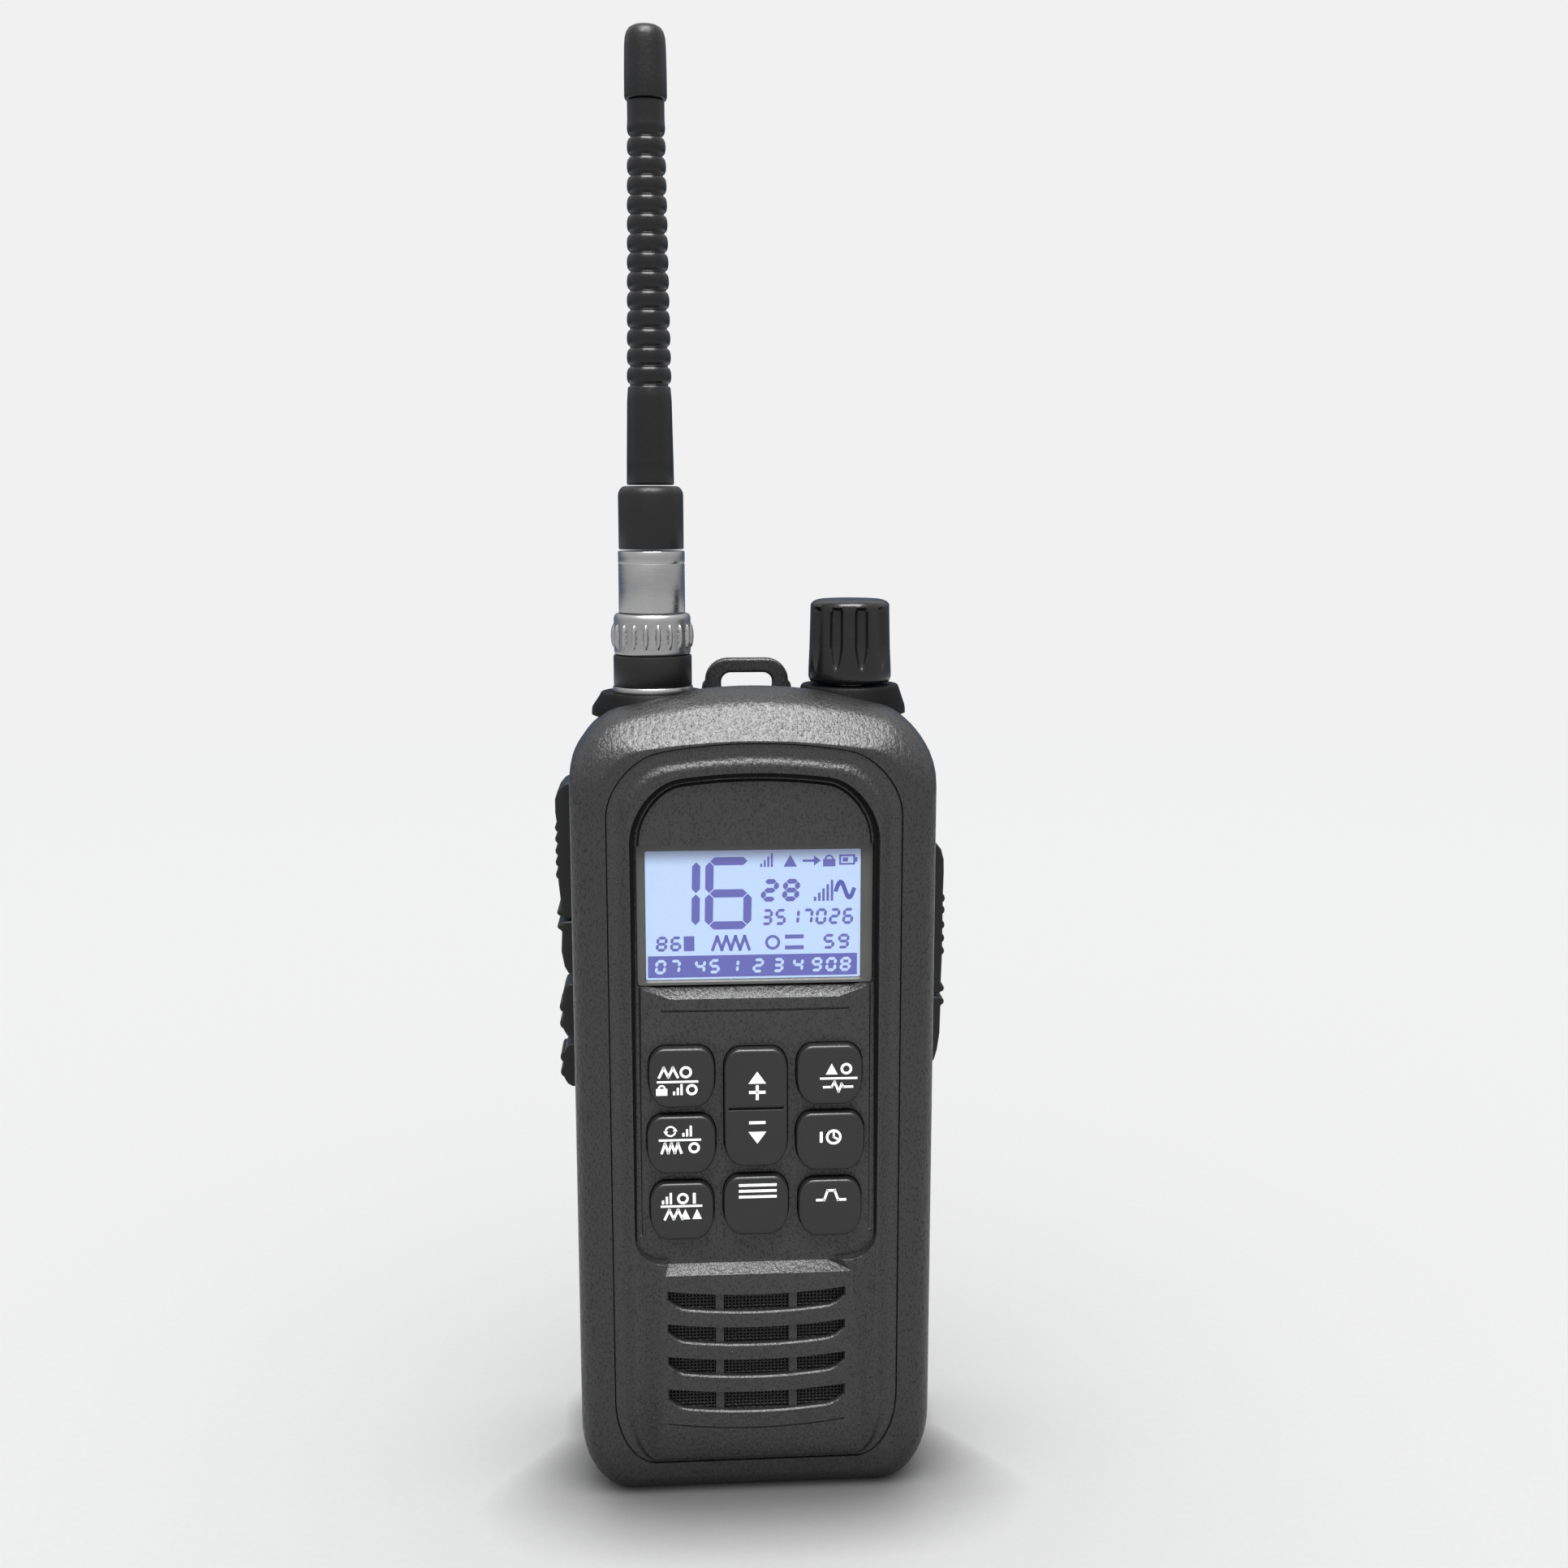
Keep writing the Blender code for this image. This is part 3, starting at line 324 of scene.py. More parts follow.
def metal(name, colour, roughness):
    """Turned metal: fine rings, small marks and mottled polish."""
    n = Nodes(name)
    rings = n.noise(0.35, 3.0, 0.6, (0.06, 0.06, 1.0))
    smudge = n.noise(5.0, 4.0)
    dull = [c * 0.86 for c in colour]
    n.give("Base Color", n.mix(n.spread(smudge, 0.0, 1.0), dull, colour))
    n.give("Metallic", 1.0)
    n.give("Roughness", n.spread(rings, roughness - 0.05, roughness + 0.06))
    n.give("Normal", n.bump(rings, 0.01, 0.5))
    return n.material


def white_print(name):
    """Pale ink printed on the keys, a little scuffed, with a faint painted glow that keeps it bright."""
    n = Nodes(name)
    speck = n.noise(0.12, 3.0)
    ink = n.mix(n.spread(speck, 0.0, 1.0, 0.25, 0.4), (0.55, 0.56, 0.56), (0.86, 0.87, 0.87))
    n.give("Base Color", ink)
    n.give("Roughness", 0.6)
    # faint painted glow on the ink
    n.give("Emission Color", (1, 1, 1, 1))
    n.give("Emission Strength", 0.12)
    return n.material


SCREEN_TOP = 115.6
SHADE_HEIGHT = 3.2


def lit_screen(name, bright, dim):
    """Backlit liquid-crystal glass: even glow, with the bezel's shade along its top edge."""
    n = Nodes(name)
    height = n.add("ShaderNodeSeparateXYZ", {0: n.place}).outputs["Z"]
    reach = {"Value": height, "From Min": (SCREEN_TOP - SHADE_HEIGHT) * MM, "From Max": SCREEN_TOP * MM}
    shade = n.add("ShaderNodeMapRange", reach, interpolation_type="SMOOTHSTEP").outputs["Result"]
    cell = n.noise(0.25, 2.0)
    glow = n.mix(shade, bright, dim)
    glow = n.mix(n.spread(cell, 0.0, 0.12), glow, dim)
    n.give("Base Color", n.mix(0.9, glow, (0.0, 0.0, 0.0)))
    n.give("Emission Color", glow)
    n.give("Emission Strength", 0.97)
    n.give("Roughness", 0.35)
    return n.material


def clear_lens(name):
    n = Nodes(name)
    n.give("Roughness", n.spread(n.noise(8.0), 0.02, 0.06))
    n.give("Base Color", (1, 1, 1, 1))
    n.give("Transmission Weight", 1.0)
    n.give("IOR", 1.15)
    return n.material


def circuit_board(name):
    n = Nodes(name)
    tracks = n.add("ShaderNodeTexBrick", {"Vector": n.place, "Scale": 180.0, "Mortar Size": 0.02})
    n.set(tracks.inputs["Color1"], (0.01, 0.10, 0.045, 1))
    n.set(tracks.inputs["Color2"], (0.012, 0.13, 0.06, 1))
    n.set(tracks.inputs["Mortar"], (0.05, 0.22, 0.11, 1))
    n.give("Base Color", tracks.outputs["Color"])
    n.give("Roughness", n.spread(n.noise(2.0), 0.3, 0.5))
    return n.material


CHARCOAL = (0.013, 0.013, 0.0132)
BLACK = (0.006, 0.006, 0.0062)
LOOKS = {
    "charcoal_case": moulded(
        "charcoal_case", CHARCOAL, 0.3, 0.7, 0.18, 1.0, stretch=0.45, fleck=(0.26, 0.58)
    ),
    "panel_case": moulded("panel_case", CHARCOAL, 0.3, 0.55, 0.18, 1.0, stretch=0.7, fleck=(0.27, 0.6)),
    "black_case": moulded("black_case", BLACK, 0.33, 0.55, 0.07, 0.7, 0.32),
    "gloss_black": moulded("gloss_black", (0.006, 0.006, 0.0062), 0.22, 0.8, 0.03, 0.3, 0.42),
    "key_rubber": moulded("key_rubber", (0.0085, 0.0085, 0.0087), 0.34, 0.3, 0.02, 0.5),
    "soft_rubber": moulded("soft_rubber", (0.007, 0.007, 0.0072), 0.38, 0.4, 0.04, 0.6, 0.3),
    "whip_rubber": moulded("whip_rubber", (0.005, 0.005, 0.0052), 0.24, 0.9, 0.05, 0.5, 0.33),
    "satin_metal": metal("satin_metal", (0.40, 0.40, 0.40), 0.33),
    "bright_metal": metal("bright_metal", (0.42, 0.42, 0.42), 0.27),
    "dark_metal": metal("dark_metal", (0.10, 0.10, 0.105), 0.45),
    "lcd_bezel": moulded("lcd_bezel", (0.06, 0.062, 0.058), 0.45, 0.5, 0.02, 0.4),
    "lcd_lens": clear_lens("lcd_lens"),
    "boss": moulded("boss", (0.003, 0.003, 0.0031), 0.5, 0.55, 0.05, 0.7, 0.1, 0.1),
    "grille": moulded("grille", (0.018, 0.018, 0.0185), 0.45, 0.3, 0.02, 0.4, 0.35),
    "circuit_board": circuit_board("circuit_board"),
    "battery_cell": moulded("battery_cell", (0.06, 0.12, 0.2), 0.3, 2.0, 0.01, 0.2),
    "paper_cone": moulded("paper_cone", (0.02, 0.02, 0.02), 0.8, 0.5, 0.05, 0.8),
    "white_print": white_print("white_print"),
}

# ---------------- case

CASE_ROWS = (  # y, half width, bottom, top, low corner, high corner, crown of the front half's outline
    (-17.6, 27.7, 3.3, 134.2, 7.6, 12.0, 9.8, 9.8, 3.3),
    (-17.5, 28.2, 2.7, 134.35, 7.7, 12.0, 9.7, 9.7, 3.3),
    (-17.2, 28.9, 1.9, 134.75, 7.9, 12.2, 9.6, 9.4, 3.4),
    (-16.6, 29.75, 1.1, 135.55, 8.1, 12.5, 9.4, 8.8, 3.6),
    (-15.4, 30.6, 0.25, 137.2, 8.4, 13.0, 9.0, 7.8, 4.3),
    (-14.0, 30.8, 0.12, 139.1, 8.4, 13.0, 8.8, 7.4, 4.9),
    (-13.4, 30.8, 0.06, 139.8, 8.4, 13.0, 8.7, 7.3, 5.2),
    (-12.8, 30.8, 0.03, 140.3, 8.4, 13.0, 8.6, 7.2, 5.4),
    (-11.6, 30.8, 0.01, 141.0, 8.4, 13.0, 8.6, 7.2, 5.7),
    (-10.2, 30.8, 0.0, 141.55, 8.4, 13.0, 8.6, 7.2, 5.9),
    (-8.6, 30.8, 0.0, 141.95, 8.4, 13.0, 8.6, 7.2, 6.1),
    (-6.6, 30.8, 0.0, 142.2, 8.4, 13.0, 8.6, 7.2, 6.2),
    (-4.6, 30.8, 0.0, 142.05, 8.4, 13.0, 8.6, 7.2, 6.1),
    (-2.4, 30.8, 0.0, 141.3, 8.4, 13.0, 8.6, 7.2, 5.6),
    (0.0, 30.8, 0.0, 139.7, 8.4, 13.0, 8.4, 7.4, 4.2),
    (3.0, 30.8, 0.0, 139.1, 8.4, 13.0, 8.0, 8.0, 3.6),
    (8.5, 30.8, 0.0, 138.9, 8.4, 13.0, 7.8, 8.0, 3.5),
)
PANEL_BACK = -14.7
FACE = -18.0  # of the panel's raised field
FLOOR = -16.5  # of the recess that holds the display and the keys
TOP_Y = 2.0
ANTENNA = (-16.8, TOP_Y)
KNOB = (17.7, TOP_Y)
ANTENNA_HOLE = 5.2
SHAFT_HOLE = 3.4
SIDE_Y = -1.0
SIDE_WINDOWS = (  # side, bottom, top, width
    (-1, 91.0, 126.3, 10.6),
    (-1, 79.6, 90.3, 8.6),
    (-1, 68.9, 79.2, 8.6),
    (1, 90.0, 109.0, 8.6),
)
AHEAD = -19.0  # where a cut through the front starts
BEHIND = -12.7  # where it ends


def panel_outline(grow=0.0):
    return grown(upright_outline(24.7, 5.9, 133.8, (7.0, 12.0), (9.0, 9.0), 3.4), grow)


def recess_outline(grow=0.0):
    return grown(upright_outline(20.9, 43.2, 128.9, (5.0, 5.0), (8.5, 9.5), 2.4), grow)


def block(low, high, mesh=None):
    corners = [(low[0], low[1]), (high[0], low[1]), (high[0], high[1]), (low[0], high[1])]
    return along_z([(low[2], corners), (high[2], corners)], mesh)


def seats():
    pockets = bmesh.new()
    for centre, radius in ((ANTENNA, 10.8), (KNOB, 9.9)):
        seat = circle(centre, radius)
        along_z([(136.4, seat), (146.0, seat)], pockets)
    return pockets


def front_shell():
    rows = [upright_row(row) for row in glide(CASE_ROWS, 3)]
    shell = build("shell_front", along_y(rows), LOOKS["charcoal_case"], "case", ["front_shell"])
    inside = [
        (-15.0, upright_outline(29.0, 2.0, 134.9, (5.5, 12.0), (8.0, 9.0), 3.0)),
        (-9.0, upright_outline(29.0, 2.0, 134.9, (5.5, 12.0), (8.0, 9.0), 3.0)),
        (9.5, upright_outline(29.0, 2.0, 134.0, (5.5, 12.0), (8.0, 9.0), 2.5)),
    ]
    opening = panel_outline(0.06)
    rim = panel_outline(0.1)
    holes = bmesh.new()
    for centre, radius in ((ANTENNA, ANTENNA_HOLE), (KNOB, SHAFT_HOLE)):
        along_z([(130.0, circle(centre, radius)), (141.5, circle(centre, radius))], holes)
    windows = bmesh.new()
    for side, bottom, top, width in SIDE_WINDOWS:
        outline = rounded_rect(SIDE_Y - width / 2, SIDE_Y + width / 2, bottom, top, 0.8)
        along_x([(side * 28.0, outline), (side * 32.0, outline)], windows)
    cut_away(
        shell,
        [
            along_y(inside),
            along_y([(AHEAD, rim), (-17.5, rim), (-17.35, opening), (-14.0, opening)]),
            seats(),
            holes,
            windows,
        ],
    )
    add_bevel(shell, 0.08, 2, 40)


def key_outline(place, grow=0.0):
    """Outline of a key: small corners at the top, longer ones at the foot."""
    left, right, bottom, top = place
    foot, head = (3.3 + grow, 4.6 + grow), (2.7 + grow, 3.4 + grow)
    return cornered(left - grow, right + grow, bottom - grow, top + grow, foot, head, 10)


SLOTS = ((37.2, 3.2), (31.15, 3.2), (25.1, 3.15), (19.05, 3.6))  # top in the middle, and height


def smile_slot(slot, left, right, inset=0.0, lip=0.0, count=24):
    """Outline of a speaker slot between two x places: its edges sag, and its foot turns up at the ends."""
    top, height = slot

    def sag(x):
        return (x / 15.5) ** 2

    def end(x):
        return 1.5 * max(0.0, (abs(x) - 12.2) / 3.3) ** 2.2

    xs = [left + (right - left) * i / count for i in range(count + 1)]
    upper = [(x, top - inset + sag(x)) for x in xs]
    lower = [(x, top - height + inset - lip + 1.2 * sag(x) + end(x)) for x in xs]
    return lower + upper[::-1]


def slot_cutters():
    grooves, holes = bmesh.new(), bmesh.new()
    spans = ((-15.3, -7.1), (-5.7, 5.7), (7.1, 15.3))
    for slot in SLOTS:
        wide = smile_slot(slot, -15.5, 15.5, -0.03, 0.22)
        narrow = smile_slot(slot, -15.4, 15.4)
        along_y([(AHEAD, wide), (FACE, wide), (-17.75, narrow), (-17.3, narrow)], grooves)
        for left, right in spans:
            outline = smile_slot(slot, left, right, 0.08)
            along_y([(AHEAD, outline), (BEHIND, outline)], holes)
    return grooves, holes


KEYS = (  # key, left, right, bottom, top
    ("key_lock", -18.2, -7.0, 71.5, 82.0),
    ("key_scan", -18.6, -6.9, 59.7, 70.0),
    ("key_mode", -18.2, -7.3, 47.7, 58.0),
    ("key_menu", -5.6, 5.6, 48.3, 58.9),
    ("key_squelch", 7.0, 18.2, 71.5, 82.0),
    ("key_watch", 6.9, 18.6, 59.7, 70.0),
    ("key_filter", 7.3, 18.2, 47.7, 58.0),
)
ROCKER = (-5.4, 5.4, 60.7, 81.6)
FIELD_STEP = (  # y of the panel's raised field and how far inside the panel's outline
    (FACE, -3.9),
    (-17.96, -3.55),
    (-17.86, -3.25),
    (-17.7, -2.95),
    (-17.5, -2.65),
    (-17.36, -2.35),
    (-17.28, -2.0),
    (-17.25, -1.6),
)


def raised_field(inset, fade=30.0):
    """Outline inside the panel's, which reaches almost to its lower edge."""
    low = min(z for x, z in panel_outline(inset))
    shift = 0.75 * inset
    return [(x, z + shift * max(0.0, (fade - z) / (fade - low))) for x, z in panel_outline(inset)]


def front_panel():
    wide = panel_outline()
    flange = upright_outline(26.3, 4.3, 134.4, (7.0, 12.0), (9.0, 9.0), 3.4)
    rows = [
        *((y, raised_field(inset)) for y, inset in FIELD_STEP),
        (-17.25, panel_outline(-0.12)),
        (-17.15, wide),
        (PANEL_BACK, wide),
        (PANEL_BACK + 0.01, flange),
        (-13.7, flange),
    ]
    panel = build("panel_front", along_y(rows), LOOKS["panel_case"], "case", ["front_panel"])
    recess = [
        (AHEAD, recess_outline(0.1)),
        (FACE, recess_outline(0.1)),
        (-17.95, recess_outline(0.03)),
        (-17.85, recess_outline(0.0)),
        (-16.9, recess_outline(-0.04)),
        (FLOOR, recess_outline(-0.12)),
    ]
    window = rounded_rect(-20.0, 20.15, 92.1, 116.65, 0.7)
    back_pocket = rounded_rect(-22.3, 22.3, 9.5, 124.0, 3.0)
    chin = []
    for y, foot, bend in (
        (FLOOR - 0.4, (14.0, 89.7), (18.9, 91.6)),
        (FLOOR, (14.3, 90.1), (18.9, 91.8)),
        (-14.6, (17.4, 92.2), (19.2, 92.6)),
    ):
        right = [foot, bend, (19.3, 94.2)]
        chin.append((y, [(-x, z) for x, z in right] + right[::-1]))
    slope = [
        (-18.8, [(-15.95, 40.2), (16.7, 40.2), (17.0, 40.4), (12.8, 46.0), (-15.2, 46.0)]),
        (-17.9, [(-15.7, 41.15), (16.1, 41.15), (16.4, 41.3), (12.8, 46.0), (-15.2, 46.0)]),
        (FLOOR, [(-15.3, 42.65), (12.2, 42.65), (12.5, 42.8), (12.4, 46.0), (-15.2, 46.0)]),
    ]
    holes = bmesh.new()
    for place in [key[1:] for key in KEYS] + [ROCKER]:
        outline = key_outline(place, 0.18)
        along_y([(AHEAD, outline), (BEHIND, outline)], holes)
    cut_away(
        panel,
        [
            along_y(recess),
            along_y(chin),
            along_y(slope),
            recess_groove(),
            along_y([(-14.9, back_pocket), (BEHIND, back_pocket)]),
            block((-17.4, -16.9, 12.9), (17.4, -14.0, 39.7)),
            along_y([(AHEAD, window), (BEHIND, window)]),
            holes,
            *slot_cutters(),
            fine_groove(15.5, 12.3, 1.2, FACE),
            fine_groove(16.0, 88.0, 0.1, FLOOR, 0.22),
        ],
    )
    add_bevel(panel, 0.1, 2, 38)
    recess_shade_strip()


def recess_groove():
    """Groove at the foot of the recess's wall, which runs out near the lower corners."""
    rings = []
    for (ax, az), (bx, bz) in zip(recess_outline(-0.1), recess_outline(-1.75)):
        if az <= 45.5:
            continue
        low = FLOOR - 0.2 + 0.85 * min(1.0, (az - 45.5) / 8.0)
        cx, cz = ax * 0.35 + bx * 0.65, az * 0.35 + bz * 0.65
        rings.append([(ax, -18.6, az), (ax, low, az), (cx, low, cz), (bx, FLOOR - 0.3, bz), (bx, -18.6, bz)])
    return loft(rings)


def recess_shade_strip():
    """Dark strip in that groove, a painted shade at the foot of the recess's wall."""
    front, back = FLOOR - 0.04, FLOOR + 0.5
    rings = []
    for (ax, az), (bx, bz) in zip(recess_outline(0.05), recess_outline(-0.85)):
        if az <= 46.5:
            continue
        share = 0.3 + 0.7 * min(1.0, (az - 46.5) / 8.0)
        cx, cz = ax + (bx - ax) * share, az + (bz - az) * share
        rings.append([(ax, front, az), (ax, back, az), (cx, back, cz), (cx, front, cz)])
    # matte black strip that paints the groove's shade
    build("recess_shade_strip", loft(rings), LOOKS["boss"], "case")


def fine_groove(half, z, rise, face, line=0.15):
    """A fine groove across the panel whose ends rise a little."""
    xs = [half * (i / 10 - 1) for i in range(21)]
    middle = [(x, z + rise * (x / half) ** 2) for x in xs]
    lower = [(x, z - line) for x, z in middle]
    upper = [(x, z + line) for x, z in middle]
    outline = lower + upper[::-1]
    return along_y([(face - 0.5, outline), (face + 1.6 * line, outline)])


def speaker_mesh():
    """Woven grille behind the slots, of fine round wires."""
    mesh = bmesh.new()
    pitch, radius, depth = 0.62, 0.17, 0.16
    columns, rows = int(32.0 / pitch), int(25.0 / pitch)

    def crossing(column, row, side):
        swing = side * depth * (1 if (column + row) % 2 else -1)
        return -16.0 + column * pitch, -16.3 + swing, 14.0 + row * pitch

    for column in range(columns + 1):
        wire(mesh, [crossing(column, row, 1) for row in range(rows + 1)], radius, (1, 0, 0), (0, 1, 0))
    for row in range(rows + 1):
        wire(mesh, [crossing(column, row, -1) for column in range(columns + 1)], radius, (0, 0, 1), (0, 1, 0))
    build("grille_mesh", mesh, LOOKS["grille"], "case", ["speaker_mesh"], smooth=80)


def wire(mesh, points, radius, side, up, sides=5):
    rings = []
    for point in points:
        ring = []
        for i in range(sides):
            angle = 2 * math.pi * i / sides
            c, s = radius * math.cos(angle), radius * math.sin(angle)
            ring.append(tuple(p + c * a + s * b for p, a, b in zip(point, side, up)))
        rings.append(ring)
    return loft(rings, mesh=mesh)


# ---------------- keys

KEY_FACE = -18.36
KEY_PROFILE = (  # how far inside the key's outline, and y
    (0.0, -14.6),
    (0.0, -17.75),
    (0.06, -17.98),
    (0.2, -18.17),
    (0.4, -18.28),
    (0.7, -18.34),
    (1.2, KEY_FACE),
)
LEGEND_Y = (KEY_FACE - 0.05, KEY_FACE + 0.05)


def key_cap(place):
    return along_y([(y, key_outline(place, -inset)) for inset, y in KEY_PROFILE])


def flat_shapes(shapes, low=LEGEND_Y[0], high=LEGEND_Y[1]):
    """Closed outlines in (x, z), each as a thin plate."""
    mesh = bmesh.new()
    for outline in shapes:
        along_y([(low, outline), (high, outline)], mesh)
    return mesh


def bar(left, right, bottom, top):
    return [(left, bottom), (right, bottom), (right, top), (left, top)]


def stroke(points, width):
    """A line of this width through the points, as one outline per stretch."""
    shapes = []
    for (ax, az), (bx, bz) in zip(points, points[1:]):
        length = math.hypot(bx - ax, bz - az)
        ux, uz = (bx - ax) / length, (bz - az) / length
        nx, nz = -uz * width / 2, ux * width / 2
        ax, az, bx, bz = ax - ux * width / 2, az - uz * width / 2, bx + ux * width / 2, bz + uz * width / 2
        shapes.append([(ax + nx, az + nz), (ax - nx, az - nz), (bx - nx, bz - nz), (bx + nx, bz + nz)])
    return shapes


def ring(centre, outer, width, start=0, end=360, steps=20):
    """Part of a ring, cut into short plates."""
    inside = arc(centre, (outer - width, outer - width), start, end, steps)
    outside = arc(centre, (outer, outer), start, end, steps)
    return [[inside[i], outside[i], outside[i + 1], inside[i + 1]] for i in range(steps)]


def padlock(x, z, size):
    shapes = [bar(x - 0.5 * size, x + 0.5 * size, z - 0.5 * size, z + 0.12 * size)]
    return shapes + ring((x, z + 0.12 * size), 0.36 * size, 0.15 * size, 0, 180, 8)


def bars_rising(x, z, size, count=4):
    step = size / count
    return [bar(x + i * step, x + (i + 0.6) * step, z, z + size * (i + 1) / count) for i in range(count)]


def arrows_round(x, z, size):
    head = [(x + 0.25 * size, z), (x + 0.75 * size, z), (x + 0.5 * size, z + 0.4 * size)]
    back = [(x - 0.75 * size, z), (x - 0.25 * size, z), (x - 0.5 * size, z - 0.4 * size)]
    shapes = [head, back]
    for start, end in ((-150, -10), (30, 170)):
        shapes += ring((x, z), 0.6 * size, 0.17 * size, start, end, 8)
    return shapes


def wave(x, z, width, height, line):
    """One cycle of a sine."""
    turns = [i / 24 for i in range(25)]
    return stroke([(x + width * t, z + height / 2 * math.sin(2 * math.pi * t)) for t in turns], line)


def zigzag(x, z, width, height, teeth, line):
    points = [(x + width * i / (2 * teeth), z + (height if i % 2 else 0)) for i in range(2 * teeth + 1)]
    return stroke(points, line)


def triangle(x, z, half, height):
    return [(x - half, z), (x + half, z), (x, z + height)]


def triangle_pair(x, z, half, height):
    return [triangle(x - half, z, half * 0.8, height), triangle(x + half, z, half * 0.8, height)]


PULSE = ((11.6, 74.7), (12.9, 74.7), (13.4, 75.6), (14.1, 73.9), (14.6, 75.2), (14.9, 74.7), (16.4, 74.7))
HUMP = ((10.5, 54.4), (11.7, 54.4), (12.3, 56.1), (13.5, 56.1), (14.1, 54.4), (15.3, 54.4))


def legends():
    """Generic pictograms for each key, in pairs over and under a line where the key does two jobs."""
    line = 0.42
    drawn = {
        "key_lock": zigzag(-16.4, 77.1, 3.1, 1.6, 2, line)
        + ring((-11.9, 77.9), 1.05, line)
        + [bar(-16.8, -9.8, 76.05, 76.4)]
        + padlock(-16.0, 74.8, 1.9)
        + bars_rising(-14.1, 73.9, 1.9, 3)
        + ring((-10.9, 74.8), 0.98, line),
        "key_scan": arrows_round(-14.6, 67.45, 1.6)
        + bars_rising(-12.6, 66.5, 1.9, 3)
        + [bar(-16.6, -9.4, 65.7, 66.05)]
        + zigzag(-16.1, 63.65, 3.3, 1.6, 3, line)
        + ring((-10.6, 64.45), 0.98, line),
        "key_mode": bars_rising(-16.2, 54.4, 2.0, 3)
        + ring((-12.6, 55.35), 1.0, line)
        + [bar(-10.9, -10.4, 54.4, 56.3), bar(-16.4, -9.3, 53.8, 54.15)]
        + zigzag(-15.7, 51.7, 3.0, 1.6, 2, line)
        + triangle_pair(-11.2, 51.6, 1.0, 1.8),
        "key_menu": [bar(-3.0, 3.5, z, z + 0.45) for z in (55.1, 56.15, 57.2)],
        "key_squelch": [triangle(12.9, 76.95, 1.0, 1.9)]
        + ring((15.4, 77.9), 1.0, line)
        + [bar(10.9, 17.3, 76.05, 76.4)]
        + stroke(PULSE, 0.38),
        "key_watch": ring((13.3, 65.75), 1.35, line)
        + stroke([(13.3, 66.5), (13.3, 65.75), (13.9, 65.4)], 0.34)
        + [bar(10.9, 11.4, 64.8, 66.7)],
        "key_filter": stroke(HUMP, line),
    }
    rocker = [triangle(0.2, 75.6, 1.5, 2.1), triangle(0.2, 67.0, 1.5, -2.1)]
    rocker += [bar(-1.2, 1.6, z, z + 0.5) for z in (68.4, 73.8)] + [bar(-0.05, 0.45, 72.7, 75.3)]
    drawn["channel_rocker"] = rocker
    for node, shapes in drawn.items():
        name = f"legend_{node.split('_')[1]}"
        build(name, flat_shapes(shapes), LOOKS["white_print"], node, smooth=20)


def keypad():
    for key in KEYS:
        build(f"cap_{key[0][4:]}", key_cap(key[1:]), LOOKS["key_rubber"], key[0], [key[0]], smooth=60)
    name = "channel_rocker"
    rocker = build("cap_rocker", key_cap(ROCKER), LOOKS["key_rubber"], name, [name], smooth=60)
    middle = (ROCKER[2] + ROCKER[3]) / 2
    groove = ((AHEAD, -0.5), (-18.3, -0.3), (-17.7, -0.1), (-17.7, 0.4), (AHEAD, 0.45))
    groove = [(y, middle + z) for y, z in groove]
    cut_away(rocker, [along_x([(-4.7, groove), (4.7, groove)])])
    add_bevel(rocker, 0.06, 2, 40)
    legends()


# ---------------- display

SEGMENTS = "abcdef bc abged abgcd fgbc afgcd afgedc abc abcdefg abcdfg".split()  # of 0 to 9
GLOW_LIT = lit_screen("lcd_glow", (0.52, 0.68, 0.95), (0.17, 0.2, 0.31))
GLOW_INK = lit_screen("lcd_ink", (0.12, 0.13, 0.44), (0.08, 0.08, 0.24))
SCREEN_Y = -14.2


def digit(value, x, z, width, height, line, slant):
    """One seven-segment number, with its lower left corner at (x, z)."""
    half, gap = line / 2, line * 0.08
    left, right, low, middle, high = half, width - half, half, height / 2, height - half

    def lying(level, start, end):
        a, b = start + gap, end - gap
        edge = [(a, level)] + [(x, level - half) for x in (a + half, b - half)]
        return edge + [(b, level)] + [(x, level + half) for x in (b - half, a + half)]

    def upright(side, start, end):
        return [(x, z) for z, x in lying(side, start, end)]

    parts = {
        "a": lying(high, left, right),
        "b": upright(right, middle, high),
        "c": upright(right, low, middle),
        "d": lying(low, left, right),
        "e": upright(left, low, middle),
        "f": upright(left, middle, high),
        "g": lying(middle, left, right),
    }
    return [[(x + px + slant * pz, z + pz) for px, pz in parts[letter]] for letter in SEGMENTS[value]]


def number(text, x, z, width, height, line, pitch, slant=0.1):
    shapes = []
    for place, letter in enumerate(text):
        shapes += digit(int(letter), x + place * pitch, z, width, height, line, slant)
    return shapes


